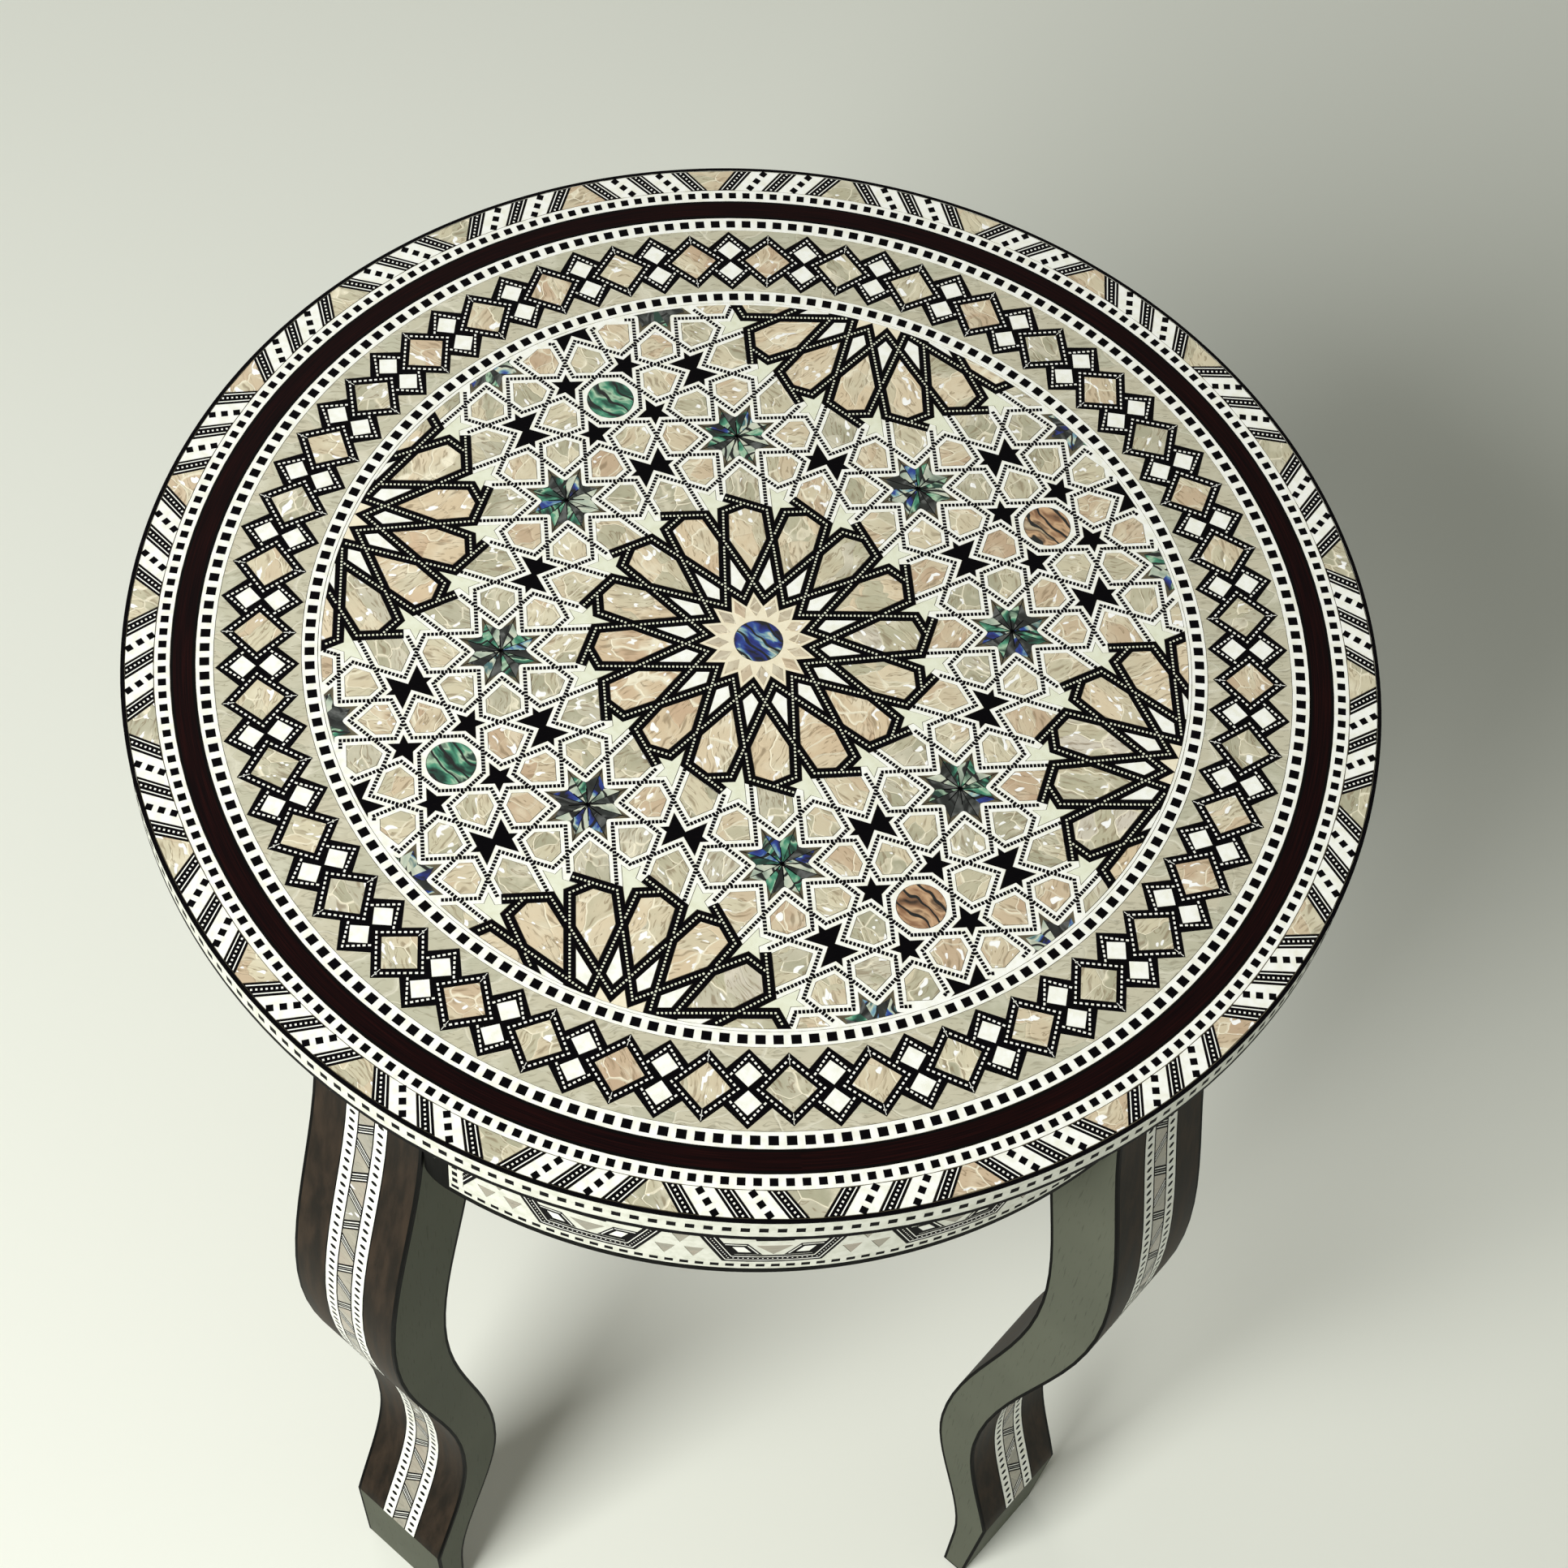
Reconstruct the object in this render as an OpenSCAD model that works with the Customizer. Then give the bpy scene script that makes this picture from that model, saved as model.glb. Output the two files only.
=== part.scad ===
// Round side table with a geometric inlay of pearl, bone and ebony on its top,
// four sawn S-curved legs and a curved apron in four boards.
// Z is up, and the origin is on the floor under the centre of the top.

/* [Top] */
// Diameter of the top over its edge band
top_d = 400; // [360:1:450]
// Height of the top face above the floor
table_h = 520; // [480:1:560]
// Thickness of the round board under the inlay
board_t = 10; // [8:0.5:16]
// Thickness of the inlay layer glued on the board
inlay_t = 2; // [1.5:0.1:3]
// Thickness of the band bent round the edge of the board
edge_band_t = 1.2; // [0.8:0.1:2]
// Glue line left between neighbouring pieces of inlay
glue_gap = 0.2; // [0.1:0.05:0.4]

/* [Rings of the top] */
// Width of the outer border with slanted strips and pearls
border_w = 8.8; // [7:0.1:11]
// Width of the outer dotted ring
outer_dots_w = 4.8; // [4:0.1:6]
// Width of the plain dark wood ring
dark_ring_w = 7.6; // [6:0.1:10]
// Width of the middle dotted ring
middle_dots_w = 5.4; // [4:0.1:6]
// Black squares in the middle dotted ring
middle_dots_n = 204; // [160:1:220]
// Side of those squares
middle_dot_w = 2.9; // [2:0.1:3.4]
// Width of the band of squares on a pearl ground
chain_w = 27; // [26.4:0.1:30]
// Width of the inner dotted ring
inner_dots_w = 4.9; // [4:0.1:6]
// Black squares in the inner dotted ring
inner_dots_n = 167; // [140:1:180]
// Side of those squares
inner_dot_w = 2.9; // [2:0.1:3.4]
// Turn of the middle row of squares about the centre, in degrees
middle_dots_turn = -0.72; // [-0.9:0.01:0.9]
// Turn of the inner row
inner_dots_turn = -1; // [-1.1:0.01:1.1]
// Clearance round a square in its pocket
dot_gap = 0.1; // [0.05:0.05:0.2]
// Pearls in the outer border, pointing in and out by turns
border_pearl_n = 26; // [22:2:28]
// Width of a border pearl at its wide end
border_pearl_w = 16.2; // [12:0.1:18]
// Width of a border pearl at its narrow end
border_pearl_tip = 3.8; // [2:0.1:6]
// Width of one slanted dark strip in the border, along the ring
border_dark_w = 5.8; // [4:0.1:6.5]
// Turn of the border about the centre of the table, in degrees
border_turn = -6; // [-7:0.1:7]

/* [Chain of squares] */
// Large pearl squares round the band
chain_n = 39; // [36:1:40]
// Half diagonal of a large pearl square
chain_pearl_h = 7.7; // [7:0.1:8.2]
// Width of the ebony strip that frames a square
chain_strip_w = 2.9; // [2:0.1:3]
// Half diagonal of a small bone square
chain_bone_h = 4.2; // [3.5:0.1:4.3]
// Ebony left between the two small squares of a pair
chain_bone_gap = 0.8; // [0.6:0.1:1.2]
// Turn of the chain about the centre of the table, in degrees
chain_turn = 1.9; // [-5:0.1:5]

/* [Star pattern] */
// How far outside the panel the four outer rosettes are centred
rosette_over = 12.4; // [8:0.1:16]
// Least depth that a tile cut by the rim reaches into the panel
rim_sliver = 1; // [0.6:0.1:3]
// Width of the bone rim round the panel
panel_rim = 0.8; // [0.6:0.1:1.5]
// Turn of the pattern about the centre of the table, in degrees
pattern_turn = -21.4; // [-45:0.1:45]
// Width of the strips between the tiles
strip_w = 3.5; // [2.8:0.1:3.8]
// Bone left between an abalone disc and the strips round it
disc_border = 0.4; // [0.3:0.05:1]
// Width of the heart of a rosette, from its disc to the valleys between its points
heart_w = 7.1; // [6:0.1:8]
// Distance from the points of an abalone star to the corners of its opening
star_tip_gap = 7.5; // [6.5:0.1:8]

/* [Legs] */
// Width of a leg across its outer face
leg_w = 47; // [40:0.5:52]
// Distance from the edge of the top in to the leg's outer face
leg_setback = 21.3; // [18:0.1:26]
// Thickness of the leg under the top
leg_top_t = 22.2; // [20:0.1:24]
// Length of leg under the top before its outer face starts to curve
leg_straight = 35; // [20:1:60]
// How far the knee stands out beyond the top of the leg
knee_out = 20; // [14:0.1:20.5]
// Height of the knee
knee_z = 318; // [300:1:335]
// Thickness of the leg at the knee
knee_t = 25.1; // [22:0.1:28]
// Height of the inner face's furthest point behind the knee
back_knee_z = 300; // [285:1:320]
// How far the ankle stands in from the top of the leg
ankle_in = 10.5; // [6:0.1:14]
// Height of the ankle
ankle_z = 137; // [125:1:150]
// Thickness of the leg at the ankle
ankle_t = 18; // [16:0.1:21]
// Height of the inner face's nearest point at the ankle
back_ankle_z = 140; // [130:1:150]
// How far the top of the foot stands out beyond the top of the leg
toe_out = 6.8; // [3:0.1:10]
// Length of the toe's full bend, as a multiple of the part above the foot
toe_bend = 1.48; // [1.2:0.01:1.7]
// Height of the plain foot
foot_h = 60.5; // [50:0.5:70]
// How far the foot's front face leans in from its top to the floor
foot_lean = 3; // [0:0.1:5]
// Thickness of the foot at the floor
foot_t = 10.5; // [9:0.1:14]
// Height at which the inner face of the foot turns upright
heel_z = 36; // [25:1:45]
// Width of the inlay strip down the outer face of a leg
leg_inlay_w = 18; // [14:0.1:20]
// Width of each dotted border of that strip
leg_border_w = 5.3; // [4:0.1:6]
// Depth of the groove that holds the strip
leg_inlay_t = 1.5; // [1:0.1:2.5]
// Height of a slanted ebony bar in that strip
leg_bar_h = 5.5; // [4:0.1:7]
// Height from one bar to the next
leg_bar_pitch = 14.3; // [12:0.1:18]

/* [Apron] */
// Height of the apron under the board
apron_h = 71; // [60:1:80]
// How far the apron's outer face stands out beyond the top of the leg
apron_out = 1.8; // [0:0.1:4]
// Thickness of the apron boards
apron_t = 14; // [12:0.5:18]
// Gap between an apron board and the leg beside it
apron_gap = 0.3; // [0.2:0.1:0.8]
// Plain margin at each end of an apron board
apron_margin = 9; // [6:0.5:14]
// Plain rim under the apron inlay
apron_rim = 3; // [2:0.1:5]
// Radius of the rounded lower corners of the apron
apron_corner_r = 8; // [3:0.5:12]
// Thickness of the inlay on the apron
apron_inlay_t = 1.5; // [1:0.1:2.5]
// Width of the dotted borders of the apron inlay
apron_border_w = 5; // [4:0.1:6]
// Distance from one ebony frame of the apron to the next
apron_frame_pitch = 58; // [50:0.5:60]
// Gap between the corners of neighbouring frames
apron_frame_gap = 1.6; // [1.2:0.1:2.4]
// Length of a frame's lower and upper sides
apron_frame_flat = 31; // [26:0.5:34]
// Width of the strips of a frame
apron_frame_w = 5; // [3:0.1:6]
// Bone left round the pearl triangles between the frames
apron_pearl_gap = 1; // [0.6:0.1:1.6]
// Distance of the middle frame from the middle of its board
apron_frame_shift = -3.5; // [-6:0.1:6]

/* [Corner blocks and fasteners] */
// Height of the blocks behind the legs
block_h = 46; // [40:1:56]
// Depth of a block from the leg towards the centre
block_d = 24; // [20:0.5:30]
// Width of a block over its two wings
block_w = 96; // [88:1:104]
// Clearance round the leg and behind the apron
block_gap = 0.3; // [0.2:0.1:0.5]
// Diameter of the bolts that hold the legs
bolt_d = 6; // [5:0.5:8]
// Diameter of the bolt heads
bolt_head_d = 13; // [10:0.5:15]
// Thickness of the bolt heads
bolt_head_t = 3.5; // [2.5:0.1:5]
// Length of bolt inside the leg
bolt_bite = 15; // [12:0.5:17]
// Distance between the two bolts of a leg
bolt_pitch = 24; // [20:1:28]
// Diameter of the screws that hold the blocks to the board
screw_d = 4; // [3:0.5:5]
// Diameter of the screw heads
screw_head_d = 8; // [7:0.5:10]
// Thickness of the screw heads
screw_head_t = 2.5; // [2:0.1:4]
// Length of screw inside the board
screw_bite = 6.5; // [5:0.5:7.5]
// Distance between the two screws of a block
screw_pitch = 66; // [60:1:72]
// Clearance round bolts and screws
hole_gap = 0.1; // [0.05:0.05:0.3]

/* [Hidden] */
$fn = 180;

bone = [0.93, 0.91, 0.82];
pearl = [0.78, 0.73, 0.62];
ebony = [0.05, 0.05, 0.05];
abalone = [0.22, 0.42, 0.38];
dark_wood = [0.16, 0.11, 0.08];
leg_wood = [0.24, 0.19, 0.15];
plain_wood = [0.62, 0.5, 0.36];
steel = [0.6, 0.6, 0.62];

top_r = top_d / 2;
board_r = top_r - edge_band_t - glue_gap;
board_z1 = table_h - inlay_t;
board_z0 = board_z1 - board_t;

// Outer radius of each ring, from the edge inwards
border_r = top_r - edge_band_t - glue_gap;
outer_dots_r = border_r - border_w - glue_gap;
dark_ring_r = outer_dots_r - outer_dots_w - glue_gap;
middle_dots_r = dark_ring_r - dark_ring_w - glue_gap;
chain_r = middle_dots_r - middle_dots_w - glue_gap;
inner_dots_r = chain_r - chain_w - glue_gap;
panel_r = inner_dots_r - inner_dots_w - glue_gap;
tile_limit = panel_r - panel_rim;
cell_w = panel_r + rosette_over;

// Distances of the leg's faces and the apron from the centre
leg_top_r = top_r - leg_setback;
knee_r = leg_top_r + knee_out;
ankle_r = leg_top_r - ankle_in;
toe_r = leg_top_r + toe_out;
sole_r = toe_r - foot_lean;
back_top_r = leg_top_r - leg_top_t;
back_knee_r = knee_r - knee_t;
back_ankle_r = ankle_r - ankle_t;
heel_r = sole_r - foot_t;
apron_r = leg_top_r + apron_out;

// Plane geometry
function unit(v) = v / norm(v);
function turned(p, a) = [p[0] * cos(a) - p[1] * sin(a), p[0] * sin(a) + p[1] * cos(a)];
function polar(r, a) = [r * cos(a), r * sin(a)];
function mirrored(p) = [p[1], p[0]];
function middle(pts) = [for (k = [0, 1]) (max([for (p = pts) p[k]]) + min([for (p = pts) p[k]])) / 2];
function reach(pts) = max([for (p = pts) norm(p)]);
function backward(v) = [for (i = [len(v) - 1:-1:0]) v[i]];
function total(v, i = 0) = i < len(v) ? v[i] + total(v, i + 1) : 0;
function area(pts) = total([for (i = [0:len(pts) - 1])
    let (p = pts[i], q = pts[(i + 1) % len(pts)]) (p[0] * q[1] - q[0] * p[1]) / 2]);
function anticlockwise(pts) = area(pts) < 0 ? backward(pts) : pts;
function crossing(p, u, q, v) =
    p + u * (((q[0] - p[0]) * v[1] - (q[1] - p[1]) * v[0]) / (u[0] * v[1] - u[1] * v[0]));
function corner(a, b, c, d) =
    let (u = unit(b - a), v = unit(c - b), p = b + d * [-u[1], u[0]], q = b + d * [-v[1], v[0]])
    abs(u[0] * v[1] - u[1] * v[0]) < 0.001 ? p : crossing(p, u, q, v);
// Moves every side of an outline inwards by d
function inset(shape, d) =
    let (pts = anticlockwise(shape), n = len(pts))
    [for (i = [0:n - 1]) corner(pts[(i + n - 1) % n], pts[i], pts[(i + 1) % n], d)];

// Star pattern, drawn with half the distance between rosettes as its unit.
// Eight hexagons stand round each small star, and sixteen tiles round each rosette.
star_x = sqrt(2) - 1;
star = [star_x, 1];
hex_r = 0.134;
cross_r = 2 * hex_r * cos(22.5);
tile_side = hex_r * sin(45);
ring_star_r = norm(star) - hex_r;
ring_axis_r = 0.9546;
diag_in = ring_axis_r * cos(45);
diag_step = 0.07;
diag_out = diag_in + diag_step;
oct_r = 0.14;
petal_r = 0.7175;
petal_slope = tan(22.5);
heart_r = 0.2216;

function star_hex(a) = star + polar(hex_r, a);
function star_cross(a) = star + polar(cross_r, a);
diagonal = [[0, 2 * tile_side / sqrt(2)], [1, 1]];
knot_e = [diag_in - hex_r, diag_in];
notch_e = crossing(star_cross(-45), polar(1, -67.5), diagonal[0], diagonal[1]);
notch_b = crossing(star_cross(-45), polar(1, -22.5), diagonal[0], diagonal[1]);
oct_corner = [1 - oct_r * cos(45), 1 - oct_r * cos(45)];
tip_a = [diag_out, diag_out + 2 * tile_side / sqrt(2)];
turn_a = crossing(oct_corner, polar(1, 157.5), diagonal[0], diagonal[1]);
valley_e = crossing(star_cross(-90), polar(1, -67.5), [0, diag_in], [1, 0]);
valley_f = crossing(star_cross(-135), polar(1, 202.5), [0, ring_axis_r], [1, -1]);
edge_b = crossing([star_x + cross_r, 1], polar(1, -22.5), [diag_out, 0], [0, 1]);
edge_f = crossing([star_x - cross_r, 1], polar(1, 202.5), [tile_side, 0], [0, 1]);

tile_e = [star_hex(-67.5), star_cross(-45), notch_e, knot_e, valley_e, star_cross(-90)];
tile_f = [star_hex(202.5), star_cross(-135), valley_f, [tile_side, ring_axis_r - tile_side],
          edge_f, star_cross(180)];
tile_b = [star_hex(-22.5), star_cross(-45), notch_b, tip_a, edge_b, star_cross(0)];
tile_a = [[diag_out, diag_out], tip_a, turn_a, oct_corner, mirrored(turn_a), mirrored(tip_a)];
half_diagonal_star = [[diag_in, diag_in], knot_e, notch_e, star_cross(-45), notch_b, tip_a,
                      [diag_out, diag_out]];
diagonal_star = concat(half_diagonal_star, [for (i = [5:-1:1]) mirrored(half_diagonal_star[i])]);
half_edge_star = [[0, ring_axis_r], [tile_side, ring_axis_r - tile_side], edge_f, star_cross(180),
                  [edge_f[0], 2 - edge_f[1]], [tile_side, 2 - ring_axis_r + tile_side],
                  [0, 2 - ring_axis_r]];
edge_star = concat(half_edge_star, [for (i = [5:-1:1]) [-half_edge_star[i][0], half_edge_star[i][1]]]);
half_small_star = [[1, star_x + cross_r], mirrored(edge_b), mirrored(tip_a), mirrored(turn_a),
                   oct_corner, [1, 1 - oct_r]];
small_star = concat(half_small_star,
    [for (i = [4:-1:1]) [2 - half_small_star[i][0], half_small_star[i][1]]]);

// Rosette pieces, with the axis of the petal along X
function ring_tile(r) = [[r, 0], [r - tile_side, tile_side],
    [petal_r + petal_slope * tile_side, tile_side], [petal_r - petal_slope * tile_side, -tile_side],
    [r - tile_side, -tile_side]];
shoulder = [petal_r - petal_slope * tile_side, -tile_side];
heart_tip = polar(heart_r, -33.75);
function on_side(a) = crossing(shoulder, heart_tip - shoulder, [0, 0], polar(1, a));
waist_r = norm(on_side(-11.25));
root_r = norm(on_side(-22.5));
petal = [[petal_r, 0], [shoulder[0], -shoulder[1]], polar(waist_r, 11.25), [root_r, 0],
         polar(waist_r, -11.25), shoulder];
kite = [polar(waist_r, 11.25), [root_r, 0], polar(heart_r, 11.25), polar(root_r, 22.5)];
function ring_r(k) = k % 2 == 0 ? ring_axis_r : ring_star_r;
function bone_star(k) = let (a = turned([ring_r(k) - tile_side, tile_side], 0),
        b = turned([ring_r(k + 1) - tile_side, -tile_side], 22.5))
    [crossing(a, [-1, 1], b, turned([-1, -1], 22.5)), a,
     [petal_r + petal_slope * tile_side, tile_side], [petal_r, 0], [shoulder[0], -shoulder[1]],
     polar(waist_r, 11.25), turned(shoulder, 22.5), b];
heart = [for (k = [0:31]) polar(k % 2 == 0 ? root_r : heart_r, 11.25 * k)];
rosette_edge = [for (k = [0:15], p = [[petal_r, 0], [shoulder[0], -shoulder[1]], polar(waist_r, 11.25),
    turned(shoulder, 22.5)]) turned(p, 22.5 * k)];

// Copies of an outline: k quarter turns, a mirror image or not, in cell c
cells = [for (i = [-1:1], j = [-1:1]) [2 * i, 2 * j]];
function laid(shape, a, c) = [for (p = shape) turned(turned(p, a) + c, pattern_turn) * cell_w / 2];
function eightfold(shape) = [for (c = cells, k = [0:3], s = [shape, [for (p = shape) mirrored(p)]])
    laid(s, 90 * k, c)];
function fourfold(shape) = [for (c = cells, k = [0:3]) laid(shape, 90 * k, c)];
function twofold(shape) = [for (c = cells, k = [0, 3]) laid(shape, 90 * k, c)];
function about_disc(shape) = [for (c = cells, k = [0:3])
    laid([for (p = shape) turned(p - [1, 1], 90 * k) + [1, 1]], 0, c)];
function round_rosette(shape) = [for (c = cells, k = [0:15]) laid(shape, 22.5 * k, c)];
// The outlines whose middle lies inside the panel, or at most the given distance outside it
function shown(shapes, over = 0) =
    [for (s = shapes) if (norm(middle(s)) < panel_r - strip_w + over) s];
// The outlines that have a corner well inside the panel
function touched(shapes) =
    [for (s = shapes) if (min([for (p = s) norm(p)]) < tile_limit - strip_w - rim_sliver) s];

pearl_outlines = touched(concat(eightfold(tile_e), eightfold(tile_f), eightfold(tile_b),
    fourfold(tile_a), [for (c = cells, k = [0:15]) laid(ring_tile(ring_r(k)), 22.5 * k, c)]));
ebony_outlines = touched(concat(fourfold(diagonal_star), twofold(edge_star), about_disc(small_star)));
bone_outlines = touched([for (c = cells, k = [0:15]) laid(bone_star(k), 22.5 * k, c)]);
petal_outlines = touched(round_rosette(petal));
kite_outlines = touched(round_rosette(kite));
heart_outlines = shown([for (c = cells) laid(heart, 0, c)], heart_r * cell_w / 2);
rosette_outlines = [for (c = cells) if (norm(c) * cell_w / 2 - cell_w / 2 < panel_r - strip_w)
    laid(rosette_edge, 0, c)];
star_centres = shown([for (c = cells, k = [0:3]) laid([k % 2 == 0 ? star : [-star_x, 1]],
    k < 2 ? 0 : -90, c)], cross_r * cell_w / 2 - star_tip_gap);
disc_centres = shown([for (c = cells) laid([[1, 1]], 0, c)]);
star_opening = [for (k = [0:15]) polar(k % 2 == 0 ? cross_r : hex_r, 22.5 * k)] * cell_w / 2;
notch_r = hex_r * cell_w / 2 - strip_w / 2 / sin(67.5) - glue_gap;
shell_star_r = cross_r * cell_w / 2 - star_tip_gap;
shell_disc_d = 2 * (oct_r * cos(22.5) * cell_w / 2 - strip_w / 2 - disc_border);
rosette_disc_d = 2 * (heart_r * cell_w / 2 - strip_w / 2 - glue_gap - heart_w);

module slab(pts) {
    if (reach(pts) < tile_limit - glue_gap) {
        linear_extrude(inlay_t) polygon(pts);
    } else {
        linear_extrude(inlay_t) intersection() {
            polygon(pts);
            circle(tile_limit - glue_gap);
        }
    }
}
module tiles(shapes, d) {
    translate([0, 0, board_z1])
        for (s = shapes)
            slab(inset(s, d));
}
module washer(outer, inner, t) {
    linear_extrude(t) difference() {
        circle(outer);
        circle(inner);
    }
}
module inlay_ring(outer, w) {
    translate([0, 0, board_z1]) washer(outer, outer - w, inlay_t);
}

// Top
module top_board() {
    color(plain_wood) difference() {
        translate([0, 0, board_z0]) cylinder(h = board_t, r = board_r);
        for (a = leg_angles)
            rotate(a) block_screw_places() screw_bore(screw_bite + hole_gap);
    }
}
module edge_band() {
    color(bone) translate([0, 0, board_z0]) washer(top_r, top_r - edge_band_t, board_t + inlay_t);
}

// Outer border: pearls that point in and out by turns, and slanted strips between them
border_mid = border_r - border_w / 2;
border_step = 360 / border_pearl_n;
border_span = border_step * PI / 180 * border_mid;
border_lean = (border_pearl_w - border_pearl_tip) / 2;
border_white_w = (border_span - (border_pearl_w + border_pearl_tip) / 2 - 3 * border_dark_w) / 2;
// Corner of a slanted piece: x along the ring at mid width, s from -1 inside to 1 outside
function border_point(x, s, lean) =
    polar(border_mid + s * border_w / 2, (x - s * lean / 2) / border_mid * 180 / PI);
function border_piece(x0, x1, lean0, lean1) = [border_point(x0, -1, lean0),
    border_point(x1, -1, lean1), border_point(x1, 1, lean1), border_point(x0, 1, lean0)];
module border_pieces(x0, x1, lean0, lean1) {
    translate([0, 0, board_z1]) intersection() {
        washer(border_r, border_r - border_w, inlay_t);
        linear_extrude(inlay_t) polygon(inset(border_piece(x0, x1, lean0, lean1), glue_gap / 2));
    }
}
half_pearl = (border_pearl_w + border_pearl_tip) / 4;
module border_pearls() {
    color(pearl)
        for (k = [0:border_pearl_n - 1])
            rotate(border_turn + k * border_step)
                border_pieces(-half_pearl, half_pearl, border_lean * (k % 2 == 0 ? -1 : 1),
                    border_lean * (k % 2 == 0 ? 1 : -1));
}
module between_pearls(first, w, step, n) {
    for (k = [0:border_pearl_n - 1], i = [0:n - 1])
        let (lean = border_lean * (k % 2 == 0 ? 1 : -1), x = half_pearl + first + i * step)
            rotate(border_turn + k * border_step) border_pieces(x, x + w, lean, lean);
}
module border_dark_strips() {
    color(ebony) between_pearls(0, border_dark_w, border_dark_w + border_white_w, 3);
}
module border_bone_strips() {
    color(bone) between_pearls(border_dark_w, border_white_w, border_dark_w + border_white_w, 2);
}

// Dotted rings: a bone ring with a row of pockets, and the ebony squares that sit in them.
// The squares of the outer ring are thin enough to be let into its face, so it has no pockets.
module ring_squares(r, n, turn, side) {
    for (k = [0:n - 1])
        rotate(turn + k * 360 / n) translate([r, 0]) square(side, center = true);
}
module dotted_ring(outer, w, n, turn, side) {
    color(bone) translate([0, 0, board_z1]) linear_extrude(inlay_t) difference() {
        circle(outer);
        circle(outer - w);
        ring_squares(outer - w / 2, n, turn, side + 2 * dot_gap);
    }
}
module dots(outer, w, n, turn, side) {
    color(ebony) translate([0, 0, board_z1]) linear_extrude(inlay_t)
        ring_squares(outer - w / 2, n, turn, side);
}
module outer_dotted_ring() {
    color(bone) inlay_ring(outer_dots_r, outer_dots_w);
}
module dark_wood_ring() {
    color(dark_wood) inlay_ring(dark_ring_r, dark_ring_w);
}
module middle_dotted_ring() {
    dotted_ring(middle_dots_r, middle_dots_w, middle_dots_n, middle_dots_turn, middle_dot_w);
}
module middle_ring_squares() {
    dots(middle_dots_r, middle_dots_w, middle_dots_n, middle_dots_turn, middle_dot_w);
}
module inner_dotted_ring() {
    dotted_ring(inner_dots_r, inner_dots_w, inner_dots_n, inner_dots_turn, inner_dot_w);
}
module inner_ring_squares() {
    dots(inner_dots_r, inner_dots_w, inner_dots_n, inner_dots_turn, inner_dot_w);
}

// Chain of squares: a framed pearl square, then two small bone squares under roofs
chain_mid = chain_r - chain_w / 2;
chain_step = 360 / chain_n;
frame_h = chain_pearl_h + chain_strip_w * sqrt(2);
roof_h = chain_bone_h + chain_strip_w * sqrt(2);
bone_place = chain_bone_h + chain_bone_gap / 2;
module diamond(h) {
    polygon([[h, 0], [0, h], [-h, 0], [0, -h]]);
}
module round_chain(half_step) {
    for (k = [0:chain_n - 1])
        rotate(chain_turn + (k + half_step / 2) * chain_step) translate([chain_mid, 0]) children();
}
module bone_pair(h) {
    for (s = [-1, 1])
        translate([s * bone_place, 0]) diamond(h);
}
module chain_outline() {
    round_chain(0) diamond(frame_h);
    round_chain(1) bone_pair(roof_h);
}
module chain_openings(d) {
    round_chain(0) diamond(chain_pearl_h - d);
    round_chain(1) bone_pair(chain_bone_h - d);
}
module chain_frames() {
    color(ebony) translate([0, 0, board_z1]) linear_extrude(inlay_t) difference() {
        chain_outline();
        chain_openings(0);
    }
}
module chain_ground() {
    color(pearl) translate([0, 0, board_z1]) linear_extrude(inlay_t) difference() {
        circle(chain_r);
        circle(chain_r - chain_w);
        round_chain(0) diamond(frame_h + glue_gap);
        round_chain(1) bone_pair(roof_h + glue_gap);
    }
}
module chain_pearls() {
    color(pearl) translate([0, 0, board_z1]) linear_extrude(inlay_t)
        round_chain(0) diamond(chain_pearl_h - glue_gap);
}
module chain_bone_squares() {
    color(bone) translate([0, 0, board_z1]) linear_extrude(inlay_t)
        round_chain(1) bone_pair(chain_bone_h - glue_gap);
}

// Panel of stars
module panel_openings() {
    for (s = concat(pearl_outlines, ebony_outlines, bone_outlines))
        polygon(inset(s, strip_w / 2));
    for (s = star_centres)
        translate(s[0]) rotate(pattern_turn) polygon(inset(star_opening, strip_w / 2));
    for (s = disc_centres)
        translate(s[0]) circle(d = shell_disc_d + 2 * glue_gap);
    for (s = rosette_outlines)
        polygon(inset(s, -strip_w / 2 - glue_gap));
}
module bone_lattice() {
    color(bone) translate([0, 0, board_z1]) linear_extrude(inlay_t) difference() {
        circle(panel_r);
        intersection() {
            circle(tile_limit);
            panel_openings();
        }
    }
}
module pearl_tiles() {
    color(pearl) tiles(pearl_outlines, strip_w / 2 + glue_gap);
}
module ebony_stars() {
    color(ebony) tiles(ebony_outlines, strip_w / 2 + glue_gap);
}
module bone_stars() {
    color(bone) tiles(bone_outlines, strip_w / 2 + glue_gap);
}
module rosette_petals() {
    color(pearl) tiles(petal_outlines, strip_w / 2 + glue_gap);
}
module rosette_kites() {
    color(bone) tiles(kite_outlines, strip_w / 2 + glue_gap);
}
module rosette_strips() {
    color(ebony) translate([0, 0, board_z1]) linear_extrude(inlay_t) intersection() {
        circle(tile_limit - glue_gap);
        difference() {
            for (s = rosette_outlines)
                polygon(inset(s, -strip_w / 2));
            for (s = concat(petal_outlines, kite_outlines, heart_outlines))
                polygon(inset(s, strip_w / 2));
        }
    }
}
module rosette_hearts() {
    color(bone) difference() {
        tiles(heart_outlines, strip_w / 2 + glue_gap);
        cylinder(h = table_h, d = rosette_disc_d + 2 * glue_gap);
    }
}
module abalone_discs() {
    color(abalone) translate([0, 0, board_z1]) {
        for (s = disc_centres)
            translate(s[0]) cylinder(h = inlay_t, d = shell_disc_d);
        cylinder(h = inlay_t, d = rosette_disc_d);
    }
}
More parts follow.
